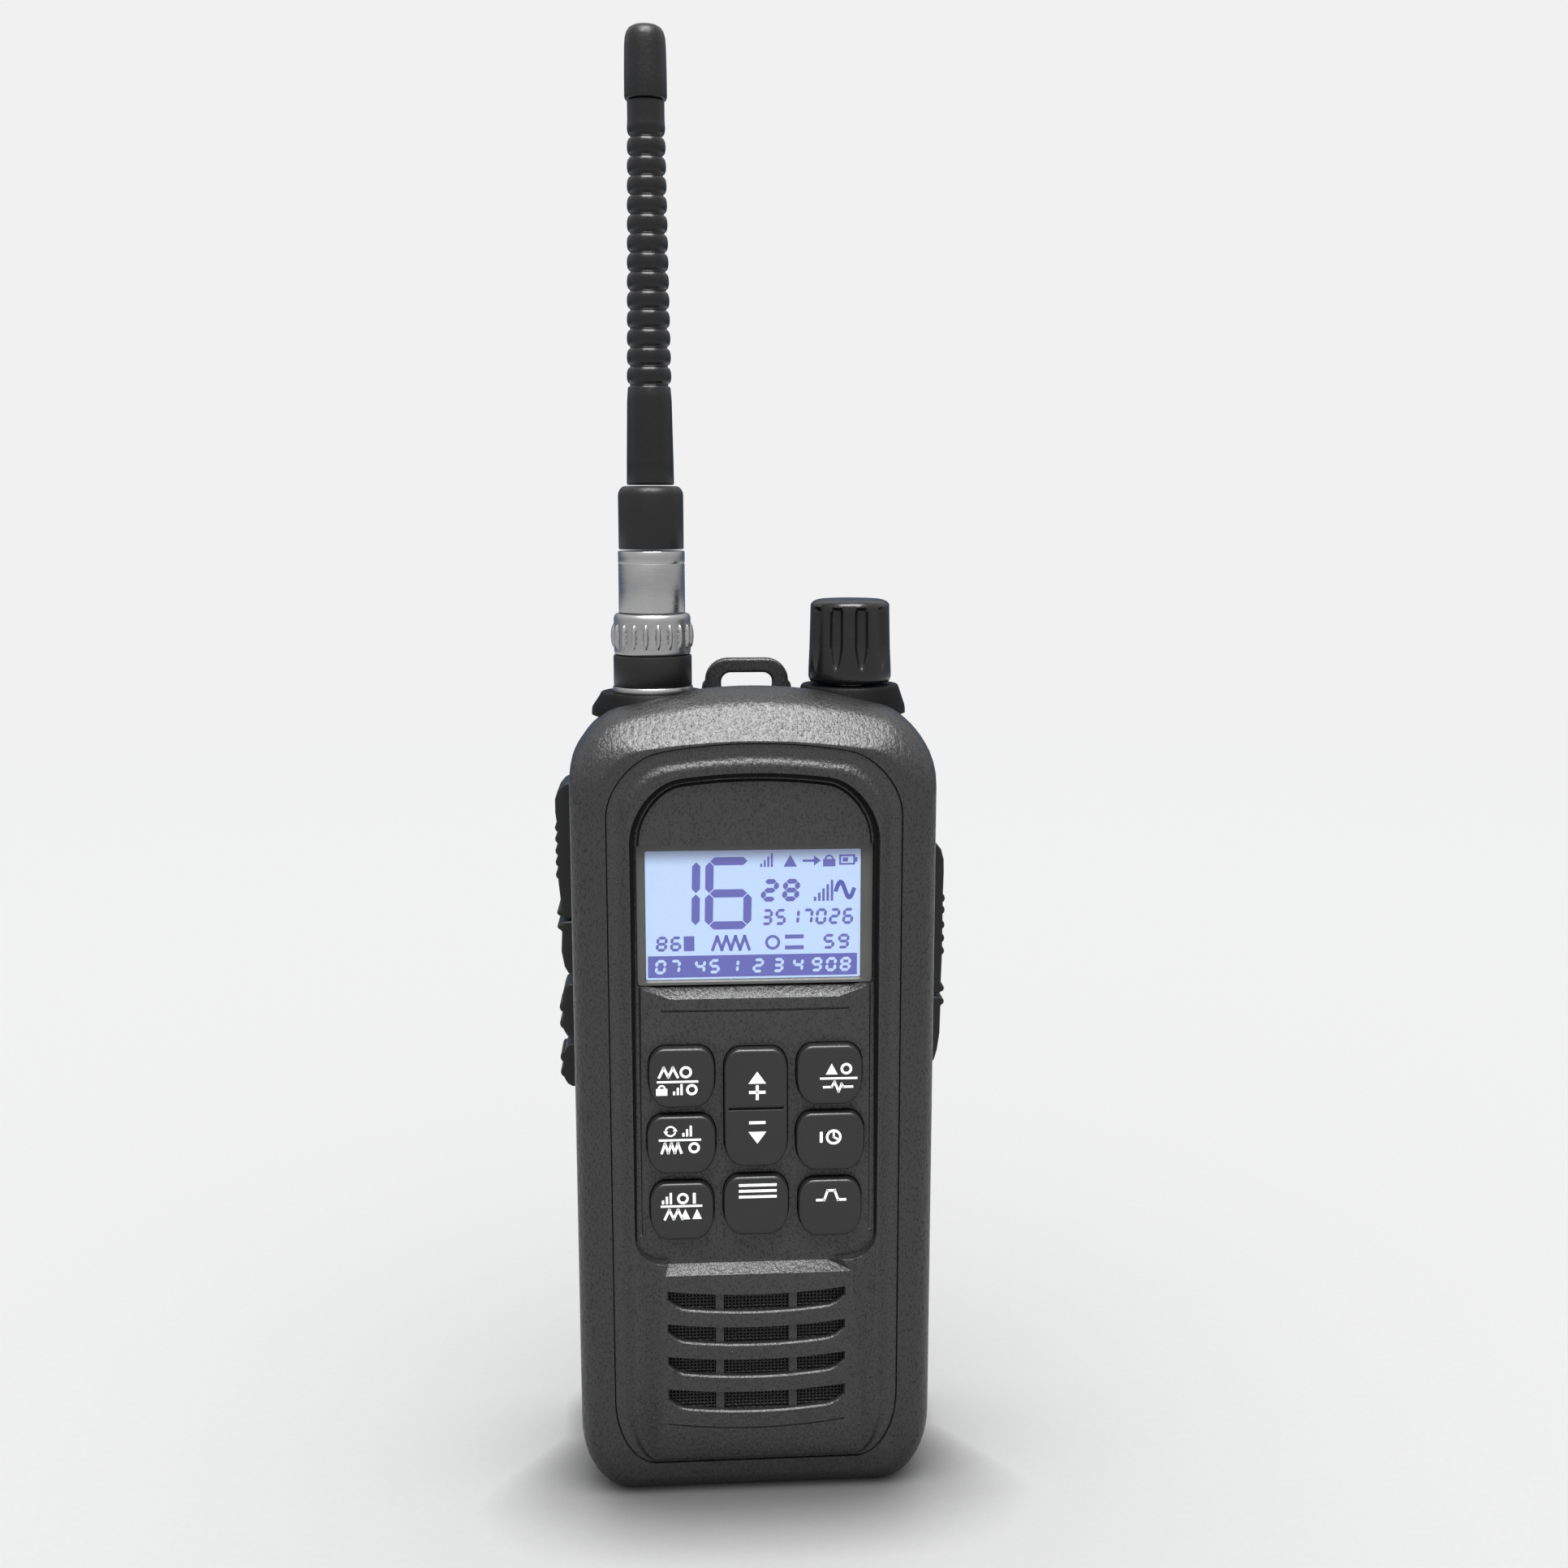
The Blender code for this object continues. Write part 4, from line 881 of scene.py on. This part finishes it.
def screen_marks():
    shapes = number("16", -17.2, 101.6, 7.9, 12.5, 1.4, 8.75, 0.02)
    shapes += number("28", 1.0, 106.3, 2.9, 3.9, 0.85, 3.6)
    shapes += bars_rising(10.1, 106.3, 3.6, 5) + wave(13.9, 108.2, 3.0, 2.6, 0.7)
    shapes += number("3517026", 1.1, 102.2, 1.85, 2.8, 0.5, 2.3)
    shapes += number("86", -16.8, 97.9, 1.9, 2.6, 0.5, 2.4) + [bar(-12.0, -10.2, 97.9, 100.5)]
    shapes += zigzag(-7.1, 98.1, 6.2, 2.2, 4, 0.52)
    shapes += ring((3.1, 99.2), 1.3, 0.48, steps=14) + [bar(5.2, 8.4, z, z + 0.7) for z in (97.9, 99.8)]
    shapes += number("59", 11.6, 97.9, 1.95, 2.6, 0.5, 2.5)
    shapes += bars_rising(1.0, 112.3, 2.4, 4) + [triangle(6.1, 112.3, 1.15, 2.1)]
    shapes += stroke([(8.4, 113.3), (10.6, 113.3)], 0.42) + [[(10.1, 112.4), (11.3, 113.3), (10.1, 114.2)]]
    shapes += padlock(12.7, 113.3, 2.1)
    left, right, foot, head, line = 14.4, 17.1, 112.5, 114.3, 0.32
    shapes += [bar(left, right, foot, foot + line), bar(left, right, head - line, head)]
    shapes += [bar(left, left + line, foot, head), bar(right - line, right, foot, head)]
    shapes += [bar(right, right + 0.4, foot + 0.5, head - 0.5)]
    shapes += [bar(left + 0.6, left + 1.5, foot + 0.55, head - 0.55)]
    return shapes


def display():
    outer = rounded_rect(-19.85, 20.0, 92.25, 116.5, 0.5)
    inner = rounded_rect(-18.4, 18.05, 92.95, 115.4, 0.3)
    slope = rounded_rect(-18.6, 18.25, 92.7, 115.6, 0.3)
    rows = [(-14.3, outer), (-15.2, outer), (-15.2, slope), (-15.0, inner), (-14.3, inner)]
    rings = [[(x, y, z) for x, z in outline] for y, outline in rows]
    build("bezel", loft(rings, closed=True), LOOKS["lcd_bezel"], "case", ["lcd_bezel"])
    lens = rounded_rect(-18.2, 17.9, 93.1, 115.2, 0.3)
    build("lens", along_y([(-14.85, lens), (-14.6, lens)]), LOOKS["lcd_lens"], "case", ["lcd_lens"])
    glass = rounded_rect(-20.5, 20.5, 91.0, 118.0, 0.6)
    module = along_y([(SCREEN_Y, glass), (-12.8, glass)])
    build("lcd_glass", module, LOOKS["gloss_black"], "case", ["lcd_module"])
    lit = rounded_rect(-18.7, 18.3, 92.55, 115.6, 0.3)
    glow = [(SCREEN_Y - 0.02, lit), (SCREEN_Y + 0.02, lit)]
    build("lcd_field", along_y(glow), GLOW_LIT, "case")
    ink = (SCREEN_Y - 0.07, SCREEN_Y - 0.03)
    build("lcd_marks", flat_shapes(screen_marks(), *ink), GLOW_INK, "case", smooth=20)
    band = [bar(-18.1, 17.55, 93.3, 97.1)]
    build("lcd_band", flat_shapes(band, *ink), GLOW_INK, "case", smooth=20)
    pale = []
    places = {"07": -17.0, "45": -10.3, "1": -4.6, "2": -0.4, "3": 3.0, "4": 6.4, "908": 9.6}
    for text, x in places.items():
        pale += number(text, x, 93.95, 1.85, 2.5, 0.5, 2.45)
    above = (SCREEN_Y - 0.12, SCREEN_Y - 0.08)
    build("lcd_band_marks", flat_shapes(pale, *above), GLOW_LIT, "case", smooth=20)


# ---------------- top controls


def bosses():
    for name, node, centre, radius, hole, top, top_radius in (
        ("boss_antenna", "antenna_boss", ANTENNA, 10.7, ANTENNA_HOLE, 140.5, 9.1),
        ("boss_knob", "knob_boss", KNOB, 9.8, SHAFT_HOLE, 141.55, 8.5),
    ):
        profile = [
            (hole, 136.7),
            (radius, 136.7),
            (radius - 0.02, 137.4),
            (radius - 0.12, 138.0),
            (top_radius + 0.15, top - 0.5),
            (top_radius, top - 0.15),
            (top_radius - 0.15, top),
            (hole, top),
        ]
        build(name, turned(profile, centre, bore=True), LOOKS["boss"], "case", [node])


def volume_knob():
    low, high, radius, flutes = 142.0, 156.4, 7.25, 10

    def fluted(r, height, angle):
        if r < 5.2:
            return r
        phase = ((angle + 0.44) * flutes / (2 * math.pi)) % 1.0 - 0.5
        opened = min(1.0, max(0.0, (height - low - 2.6) / 4.0), max(0.0, (high - 1.35 - height) / 0.35))
        half = 0.27 * opened**0.45
        if half < 0.02 or abs(phase) >= half:
            return r
        return r - 1.05 * opened**0.4 * (1 - (phase / half) ** 2) ** 0.5

    profile = [(3.3, 153.6), (3.3, low), (6.5, low), (6.85, low + 0.1), (7.1, low + 0.4), (radius, low + 1.0)]
    profile += [(radius - 0.01 * i, low + 1.6 + 0.4 * i) for i in range(1, 29)]
    profile += [(6.92, high - 1.1), (6.78, high - 0.7), (6.4, high - 0.33), (5.9, high - 0.12), (5.4, high)]
    profile += [(3.6, high - 0.05), (1.0, high - 0.1), (1.0, 153.6)]
    made = turned(profile, KNOB, 400, bore=True, radius_at=fluted)
    build("knob", made, LOOKS["gloss_black"], "volume_knob", ["volume_knob"], smooth=50)
    plug = turned([(1.15, 154.6), (1.15, high - 0.12), (0.6, high - 0.08)], KNOB, 32)
    build("knob_plug", plug, LOOKS["gloss_black"], "volume_knob")


def antenna():
    boot = [(3.9, 141.65), (6.7, 141.65), (6.8, 141.8), (6.8, 146.6), (6.7, 146.9), (6.5, 147.0), (3.9, 147.0)]
    build("boot", turned(boot, ANTENNA, bore=True), LOOKS["soft_rubber"], "case", ["jack_boot"])
    jack = [(1.2, 152.0), (1.2, 143.5), (1.1, 143.0), (1.1, 128.4), (4.7, 128.4), (4.7, 140.55)]
    jack += [(7.0, 140.55), (7.05, 140.65), (6.95, 141.4), (6.85, 141.55), (3.6, 141.55)]
    jack += [(3.6, 151.7), (3.4, 152.0)]
    build("jack_ring", turned(jack, ANTENNA, bore=True), LOOKS["satin_metal"], "case", ["antenna_jack"])
    ferrule = [(3.9, 148.0), (4.3, 148.0), (4.3, 154.3), (5.7, 154.3), (5.75, 154.4), (5.72, 162.5)]
    ferrule += [(5.65, 162.7), (5.7, 162.85), (5.75, 163.0), (5.75, 164.6), (5.65, 164.8)]
    ferrule += [(1.3, 164.8), (1.3, 154.0), (3.9, 153.4)]
    build("ferrule", turned(ferrule, ANTENNA, bore=True), LOOKS["bright_metal"], "antenna", ["antenna_ferrule"])
    collar = [(5.5, 165.1), (5.6, 165.25), (5.6, 174.3), (5.5, 174.8), (5.25, 175.3)]
    collar += [(4.9, 175.65), (4.5, 175.8)]
    build("collar", turned(collar, ANTENNA), LOOKS["soft_rubber"], "antenna", ["antenna_collar"])
    whip = [(3.9, 176.0), (4.05, 176.2), (4.0, 180.0), (3.9, 185.0), (3.8, 190.0)]
    bead = ((0.14, -0.55), (0.26, -0.35), (0.5, -0.18), (0.56, 0.0), (0.5, 0.18), (0.26, 0.35))
    bead += ((0.12, 0.6), (0.03, 1.0), (0.0, 1.4), (0.02, 1.8), (0.07, 2.2))
    for row in range(14):
        radius = 3.78 - 0.6 * row / 13
        whip += [(radius - drop, 192.7 + row * 3.09 + rise) for drop, rise in bead]
    whip += [(3.15, 234.6), (3.1, 235.6), (3.1, 238.4)]
    build("whip", turned(whip, ANTENNA), LOOKS["whip_rubber"], "antenna", ["antenna_whip"], smooth=60)
    tip = [(3.3, 238.7), (3.45, 238.85), (3.55, 239.3), (3.53, 243.0), (3.45, 247.0), (3.35, 248.4)]
    tip += [(3.1, 249.3), (2.7, 249.9), (2.1, 250.25), (1.2, 250.4)]
    build("tip", turned(tip, ANTENNA), LOOKS["black_case"], "antenna", ["antenna_tip"], smooth=60)
    coupling_nut()


def coupling_nut():
    def bumped(r, height, angle):
        if r < 6.2:
            return r
        phase = ((angle * 20 / (2 * math.pi)) % 1.0 - 0.5) / 0.21
        swell = 1 - phase**2 - ((height - 150.3) / 2.1) ** 2
        return r + 0.6 * max(0.0, swell) ** 0.5

    profile = [(4.6, 147.1), (6.4, 147.1), (6.6, 147.25), (6.65, 147.6)]
    profile += [(6.65, 147.9 + 0.16 * i) for i in range(1, 31)]
    profile += [(6.65, 153.3), (6.55, 153.7), (6.35, 154.0), (6.0, 154.15), (4.6, 154.2)]
    nut = turned(profile, ANTENNA, 400, bore=True, radius_at=bumped)
    build("nut", nut, LOOKS["satin_metal"], "coupling_nut", ["coupling_nut"], smooth=50)


def strap_eyelet():
    right = [(7.1, 130.6), (7.1, 139.2), (8.2, 139.25), (7.95, 140.8)]
    right += arc((3.4, 141.4), (4.1, 4.0), 0, 90, 12)
    outline = right + [(-x, z) for x, z in reversed(right)]
    hole = rounded_rect(-4.6, 4.6, 139.0, 142.8, 1.7, 8)
    mesh = along_y([(10.5, outline), (12.7, outline)])
    eyelet = build("eyelet", mesh, LOOKS["charcoal_case"], "case", ["strap_eyelet"])
    cut_away(eyelet, [along_y([(9.5, hole), (13.7, hole)])])
    add_bevel(eyelet, 0.5, 4, 50)


# ---------------- sides


def ribbed(side, depth, heights, base, half):
    """Outer edge in (x, z), going up, with a small round rib at each height."""
    points = []
    for z in heights:
        for i in range(9):
            t = i / 4 - 1
            points.append((side * (base + depth * max(0.0, 1 - t * t) ** 0.7), z + half * t))
    return points


def side_piece(name, outline, width, body, node, bevel=0.7):
    mesh = along_y([(SIDE_Y - width / 2, outline), (SIDE_Y + width / 2, outline)])
    add_bevel(build(name, mesh, LOOKS["soft_rubber"], body, [node], smooth=40), bevel, 4, 60)


def sides():
    inner = -29.2
    lever = [(inner, 101.9), (-32.3, 101.9)] + ribbed(-1, 0.8, (102.9,), 33.0, 0.7)
    lever += ribbed(-1, 0.35, (109.6, 111.8, 113.8, 115.9, 117.9), 33.5, 0.7)
    lever += [(-33.75, 120.5), (-33.75, 122.8), (-33.3, 124.2), (-32.4, 125.3), (-31.4, 125.8)]
    lever += [(inner, 126.0)]
    side_piece("ptt", lever, 10.0, "ptt_lever", "ptt_lever")
    foot = [(inner, 91.4), (-31.4, 91.4), (-32.1, 92.1), (-32.7, 93.2), (-33.2, 96.0)]
    foot += ribbed(-1, 0.8, (100.4,), 33.0, 0.7) + [(-32.5, 101.4), (inner, 101.4)]
    side_piece("ptt_pad", foot, 10.0, "case", "ptt_foot")
    for name, bottom, top, bumps in (
        ("side_key_upper", 79.9, 90.0, (82.6, 85.6)),
        ("side_key_lower", 71.2, 78.9, (73.9, 76.6)),
    ):
        outline = [(inner, bottom), (-31.8, bottom), (-32.6, bottom + 0.5), (-33.0, bottom + 1.2)]
        outline += ribbed(-1, 0.5, bumps, 33.3, 0.9)
        outline += [(-33.1, top - 1.5), (-32.7, top - 0.5), (-31.8, top), (inner, top)]
        side_piece(f"{name}_cap", outline, 8.0, name, name)
    near = 31.3
    cover = [(near, 87.3), (33.0, 87.3)] + ribbed(1, 0.6, (88.2,), 33.4, 0.7)
    cover += ribbed(1, 0.35, (95.0, 97.3, 99.7, 102.4, 104.5), 33.55, 0.7)
    cover += [(33.65, 109.0), (33.6, 111.4), (33.1, 113.3), (32.1, 114.4), (near, 114.6)]
    side_piece("cover", cover, 11.0, "jack_cover", "jack_cover", 0.5)
    foot = [(near, 74.2), (31.8, 74.3), (32.4, 75.2), (32.9, 77.0), (33.3, 80.0)]
    foot += ribbed(1, 0.6, (85.8,), 33.4, 0.7) + [(33.0, 86.7), (near, 86.7)]
    side_piece("cover_pad", foot, 11.0, "case", "jack_cover_foot", 0.5)


# ---------------- back


def rear_shell():
    keys = (
        (8.8, 31.0, 0.0, 138.9, 8.4, 13.0, 8.0, 9.0, 3.5),
        (14.0, 31.0, 0.0, 138.4, 8.4, 13.0, 8.0, 9.0, 3.5),
        (15.6, 30.8, 0.15, 137.8, 8.4, 13.0, 8.0, 9.0, 3.4),
        (16.7, 30.2, 0.55, 136.8, 8.4, 13.0, 8.0, 9.0, 3.3),
        (17.5, 29.3, 1.2, 135.3, 8.4, 13.0, 8.0, 9.0, 3.1),
        (18.0, 28.0, 2.0, 133.5, 8.4, 13.0, 8.0, 9.0, 3.0),
    )
    rows = [upright_row(row) for row in glide(keys, 3)]
    shell = build("shell_rear", along_y(rows), LOOKS["black_case"], "case", ["rear_shell"])
    bay = block((-24.7, 4.5, 8.0), (24.7, 20.0, 104.0))
    upper = rounded_rect(-27.5, 27.5, 107.6, 132.5, 4.0)
    catch = block((-8.0, 15.4, 4.9), (8.0, 20.0, 9.0))
    tang = block((-7.4, 10.2, 130.0), (7.4, 13.0, 142.0))
    cut_away(shell, [bay, along_y([(7.8, upper), (16.0, upper)]), catch, tang, seats()])
    add_bevel(shell, 0.25, 3, 40)
    floor = rounded_rect(-26.5, 26.5, 6.2, 105.8, 3.0)
    tray = along_y([(3.0, floor), (4.49, floor)])
    add_bevel(build("bay_floor", tray, LOOKS["black_case"], "case"), 0.2)


EDGE_WIDTHS = {  # of the edges broken on CAD nodes that are shown as they are
    0.45: "belt_clip",
    0.3: "battery_case battery_latch battery_cell_left battery_cell_right",
    0.25: "clip_bracket",
    0.2: "volume_pot chassis",
    0.15: "battery_lid speaker_frame rf_shield",
    0.1: "clip_pin case_screw_1 case_screw_2 case_seal volume_shaft backlight keypad_mat microphone"
    " accessory_jacks ptt_switch side_switch_strip",
    0.05: "antenna_pin main_board battery_contact_neg battery_contact_pos",
    0.0: "clip_spring speaker_cone",
}


def dressed_nodes():
    """CAD nodes that are shown as they are, with broken edges and a procedural finish."""
    for width, nodes in EDGE_WIDTHS.items():
        for node in nodes.split():
            piece = frame["nodes"][node]
            finished(piece.data, LOOKS.get(SLOT_OF[node], LOOKS["lcd_bezel"]))
            if width:
                add_bevel(piece, width, 3, 35)


# ---------------- surroundings

SURROUND = (0.879, 0.879, 0.879)
SKY = (  # height of the direction, and its colour
    (0.0, (0.66, 0.66, 0.66)),
    (0.45, (0.88, 0.88, 0.88)),
    (1.0, (1.32, 1.32, 1.32)),
)
FAR_SIDE = (0.13, 0.175, 0.26)  # low down behind the radio


def table():
    """A pale table that fades into the pale surroundings, with a painted contact shadow round the radio that is
    deeper and wider in front of it.
    """
    mesh = bmesh.new()
    corners = [(-3.0, -3.0), (3.0, -3.0), (3.0, 3.0), (-3.0, 3.0)]
    mesh.faces.new([mesh.verts.new((x, y, 0.0)) for x, y in corners])
    data = bpy.data.meshes.new("table")
    mesh.to_mesh(data)
    mesh.free()
    top = bpy.data.objects.new("table", data)
    bpy.context.scene.collection.objects.link(top)
    n = Nodes("table_paper")
    fibre = n.noise(1.2, 3.0)
    paper = n.mix(n.spread(fibre, 0.0, 1.0), (0.86, 0.86, 0.86), (0.88, 0.88, 0.88))
    # painted contact shadow: colour darkened by ambient occlusion, wider and darker in front of the radio
    split = n.add("ShaderNodeSeparateXYZ", {0: n.place})
    ahead = {"Value": split.outputs["Y"], "From Min": 0.002, "From Max": -0.020, "To Min": 0.0, "To Max": 1.0}
    ahead = n.add("ShaderNodeMapRange", ahead).outputs["Result"]
    reach = n.add("ShaderNodeMath", {0: ahead, 1: 0.014, 2: 0.008}, operation="MULTIPLY_ADD").outputs[0]
    near = n.add("ShaderNodeAmbientOcclusion", {"Distance": reach}).outputs["AO"]
    power = n.add("ShaderNodeMath", {0: ahead, 1: 1.7, 2: 1.3}, operation="MULTIPLY_ADD").outputs[0]
    painted_shadow = n.add("ShaderNodeMath", {0: near, 1: power}, operation="POWER").outputs[0]
    n.give("Base Color", n.mix(painted_shadow, (0.16, 0.16, 0.16), paper))
    n.give("Roughness", 0.9)
    n.give("Specular IOR Level", 0.2)
    far = n.add("ShaderNodeVectorMath", {0: n.place}, operation="LENGTH").outputs["Value"]
    fade = n.add(
        "ShaderNodeMapRange",
        {"Value": far, "From Min": 0.45, "From Max": 1.3, "To Min": 1.0, "To Max": 0.0},
        interpolation_type="SMOOTHSTEP",
    ).outputs["Result"]
    n.give("Alpha", fade)
    data.materials.append(n.material)
    return top


def sky():
    """Even pale surroundings, lit from a grey horizon up to a white ceiling and a dim blue far side."""
    world = bpy.data.worlds.new("studio")
    bpy.context.scene.world = world
    world.use_nodes = True
    tree = world.node_tree
    new, link = tree.nodes.new, tree.links.new
    shade = tree.nodes["Background"]
    shade.inputs["Color"].default_value = (*SURROUND, 1.0)
    light = new("ShaderNodeBackground")
    split = new("ShaderNodeSeparateXYZ")
    ramp = new("ShaderNodeValToRGB")
    mix = new("ShaderNodeMixShader")
    link(new("ShaderNodeTexCoord").outputs["Generated"], split.inputs[0])
    link(split.outputs["Z"], ramp.inputs["Fac"])
    ends = ramp.color_ramp.elements
    for end, (position, colour) in zip(ends, (SKY[0], SKY[-1])):
        end.position, end.color = position, (*colour, 1.0)
    for position, colour in SKY[1:-1]:
        ends.new(position).color = (*colour, 1.0)
    behind = new("ShaderNodeMath")
    behind.operation = "MULTIPLY_ADD"
    behind.inputs[1].default_value = -1.1
    link(split.outputs["Z"], behind.inputs[0])
    link(split.outputs["Y"], behind.inputs[2])
    share = new("ShaderNodeMapRange")
    share.inputs["From Max"].default_value = 0.7
    link(behind.outputs[0], share.inputs["Value"])
    dim = new("ShaderNodeMix")
    dim.data_type = "RGBA"
    link(share.outputs["Result"], dim.inputs["Factor"])
    link(ramp.outputs["Color"], dim.inputs["A"])
    dim.inputs["B"].default_value = (*FAR_SIDE, 1.0)
    link(dim.outputs["Result"], light.inputs["Color"])
    link(new("ShaderNodeLightPath").outputs["Is Camera Ray"], mix.inputs["Fac"])
    link(light.outputs[0], mix.inputs[1])
    link(shade.outputs[0], mix.inputs[2])
    link(mix.outputs[0], tree.nodes["World Output"].inputs["Surface"])


def keep_off(light, thing):
    """The light doesn't fall on this thing."""
    group = bpy.data.collections.new("not_lit_by_" + light.name)
    group.objects.link(thing)
    light.light_linking.receiver_collection = group
    group.collection_objects[0].light_linking.link_state = "EXCLUDE"


def softbox():
    """Soft light above the radio and in front of it, aimed at its lower half."""
    back, down = 0.38, 0.95
    light = bpy.data.lights.new("softbox_above", "AREA")
    light.shape = "RECTANGLE"
    light.size, light.size_y = 0.78, 0.52
    light.energy = 22.0
    made = bpy.data.objects.new("softbox_above", light)
    made.location = (0.0, -0.02 - back, 0.1 + down)
    made.rotation_euler = (math.atan2(back, down), 0.0, 0.0)
    bpy.context.scene.collection.objects.link(made)
    return made


def camera():
    data = bpy.data.cameras.new("camera")
    data.lens = 39.06
    data.sensor_width = 36.0
    made = bpy.data.objects.new("camera", data)
    made.location = (-14.1 * MM, -295.0 * MM, 172.8 * MM)
    made.rotation_euler = (math.radians(80.65), 0.0, math.radians(-3.9))
    bpy.context.scene.collection.objects.link(made)
    bpy.context.scene.camera = made


def main():
    front_shell()
    front_panel()
    speaker_mesh()
    keypad()
    display()
    bosses()
    volume_knob()
    antenna()
    strap_eyelet()
    sides()
    rear_shell()
    dressed_nodes()
    sky()
    keep_off(softbox(), table())
    camera()
    bpy.context.scene.view_settings.view_transform = "Standard"


main()
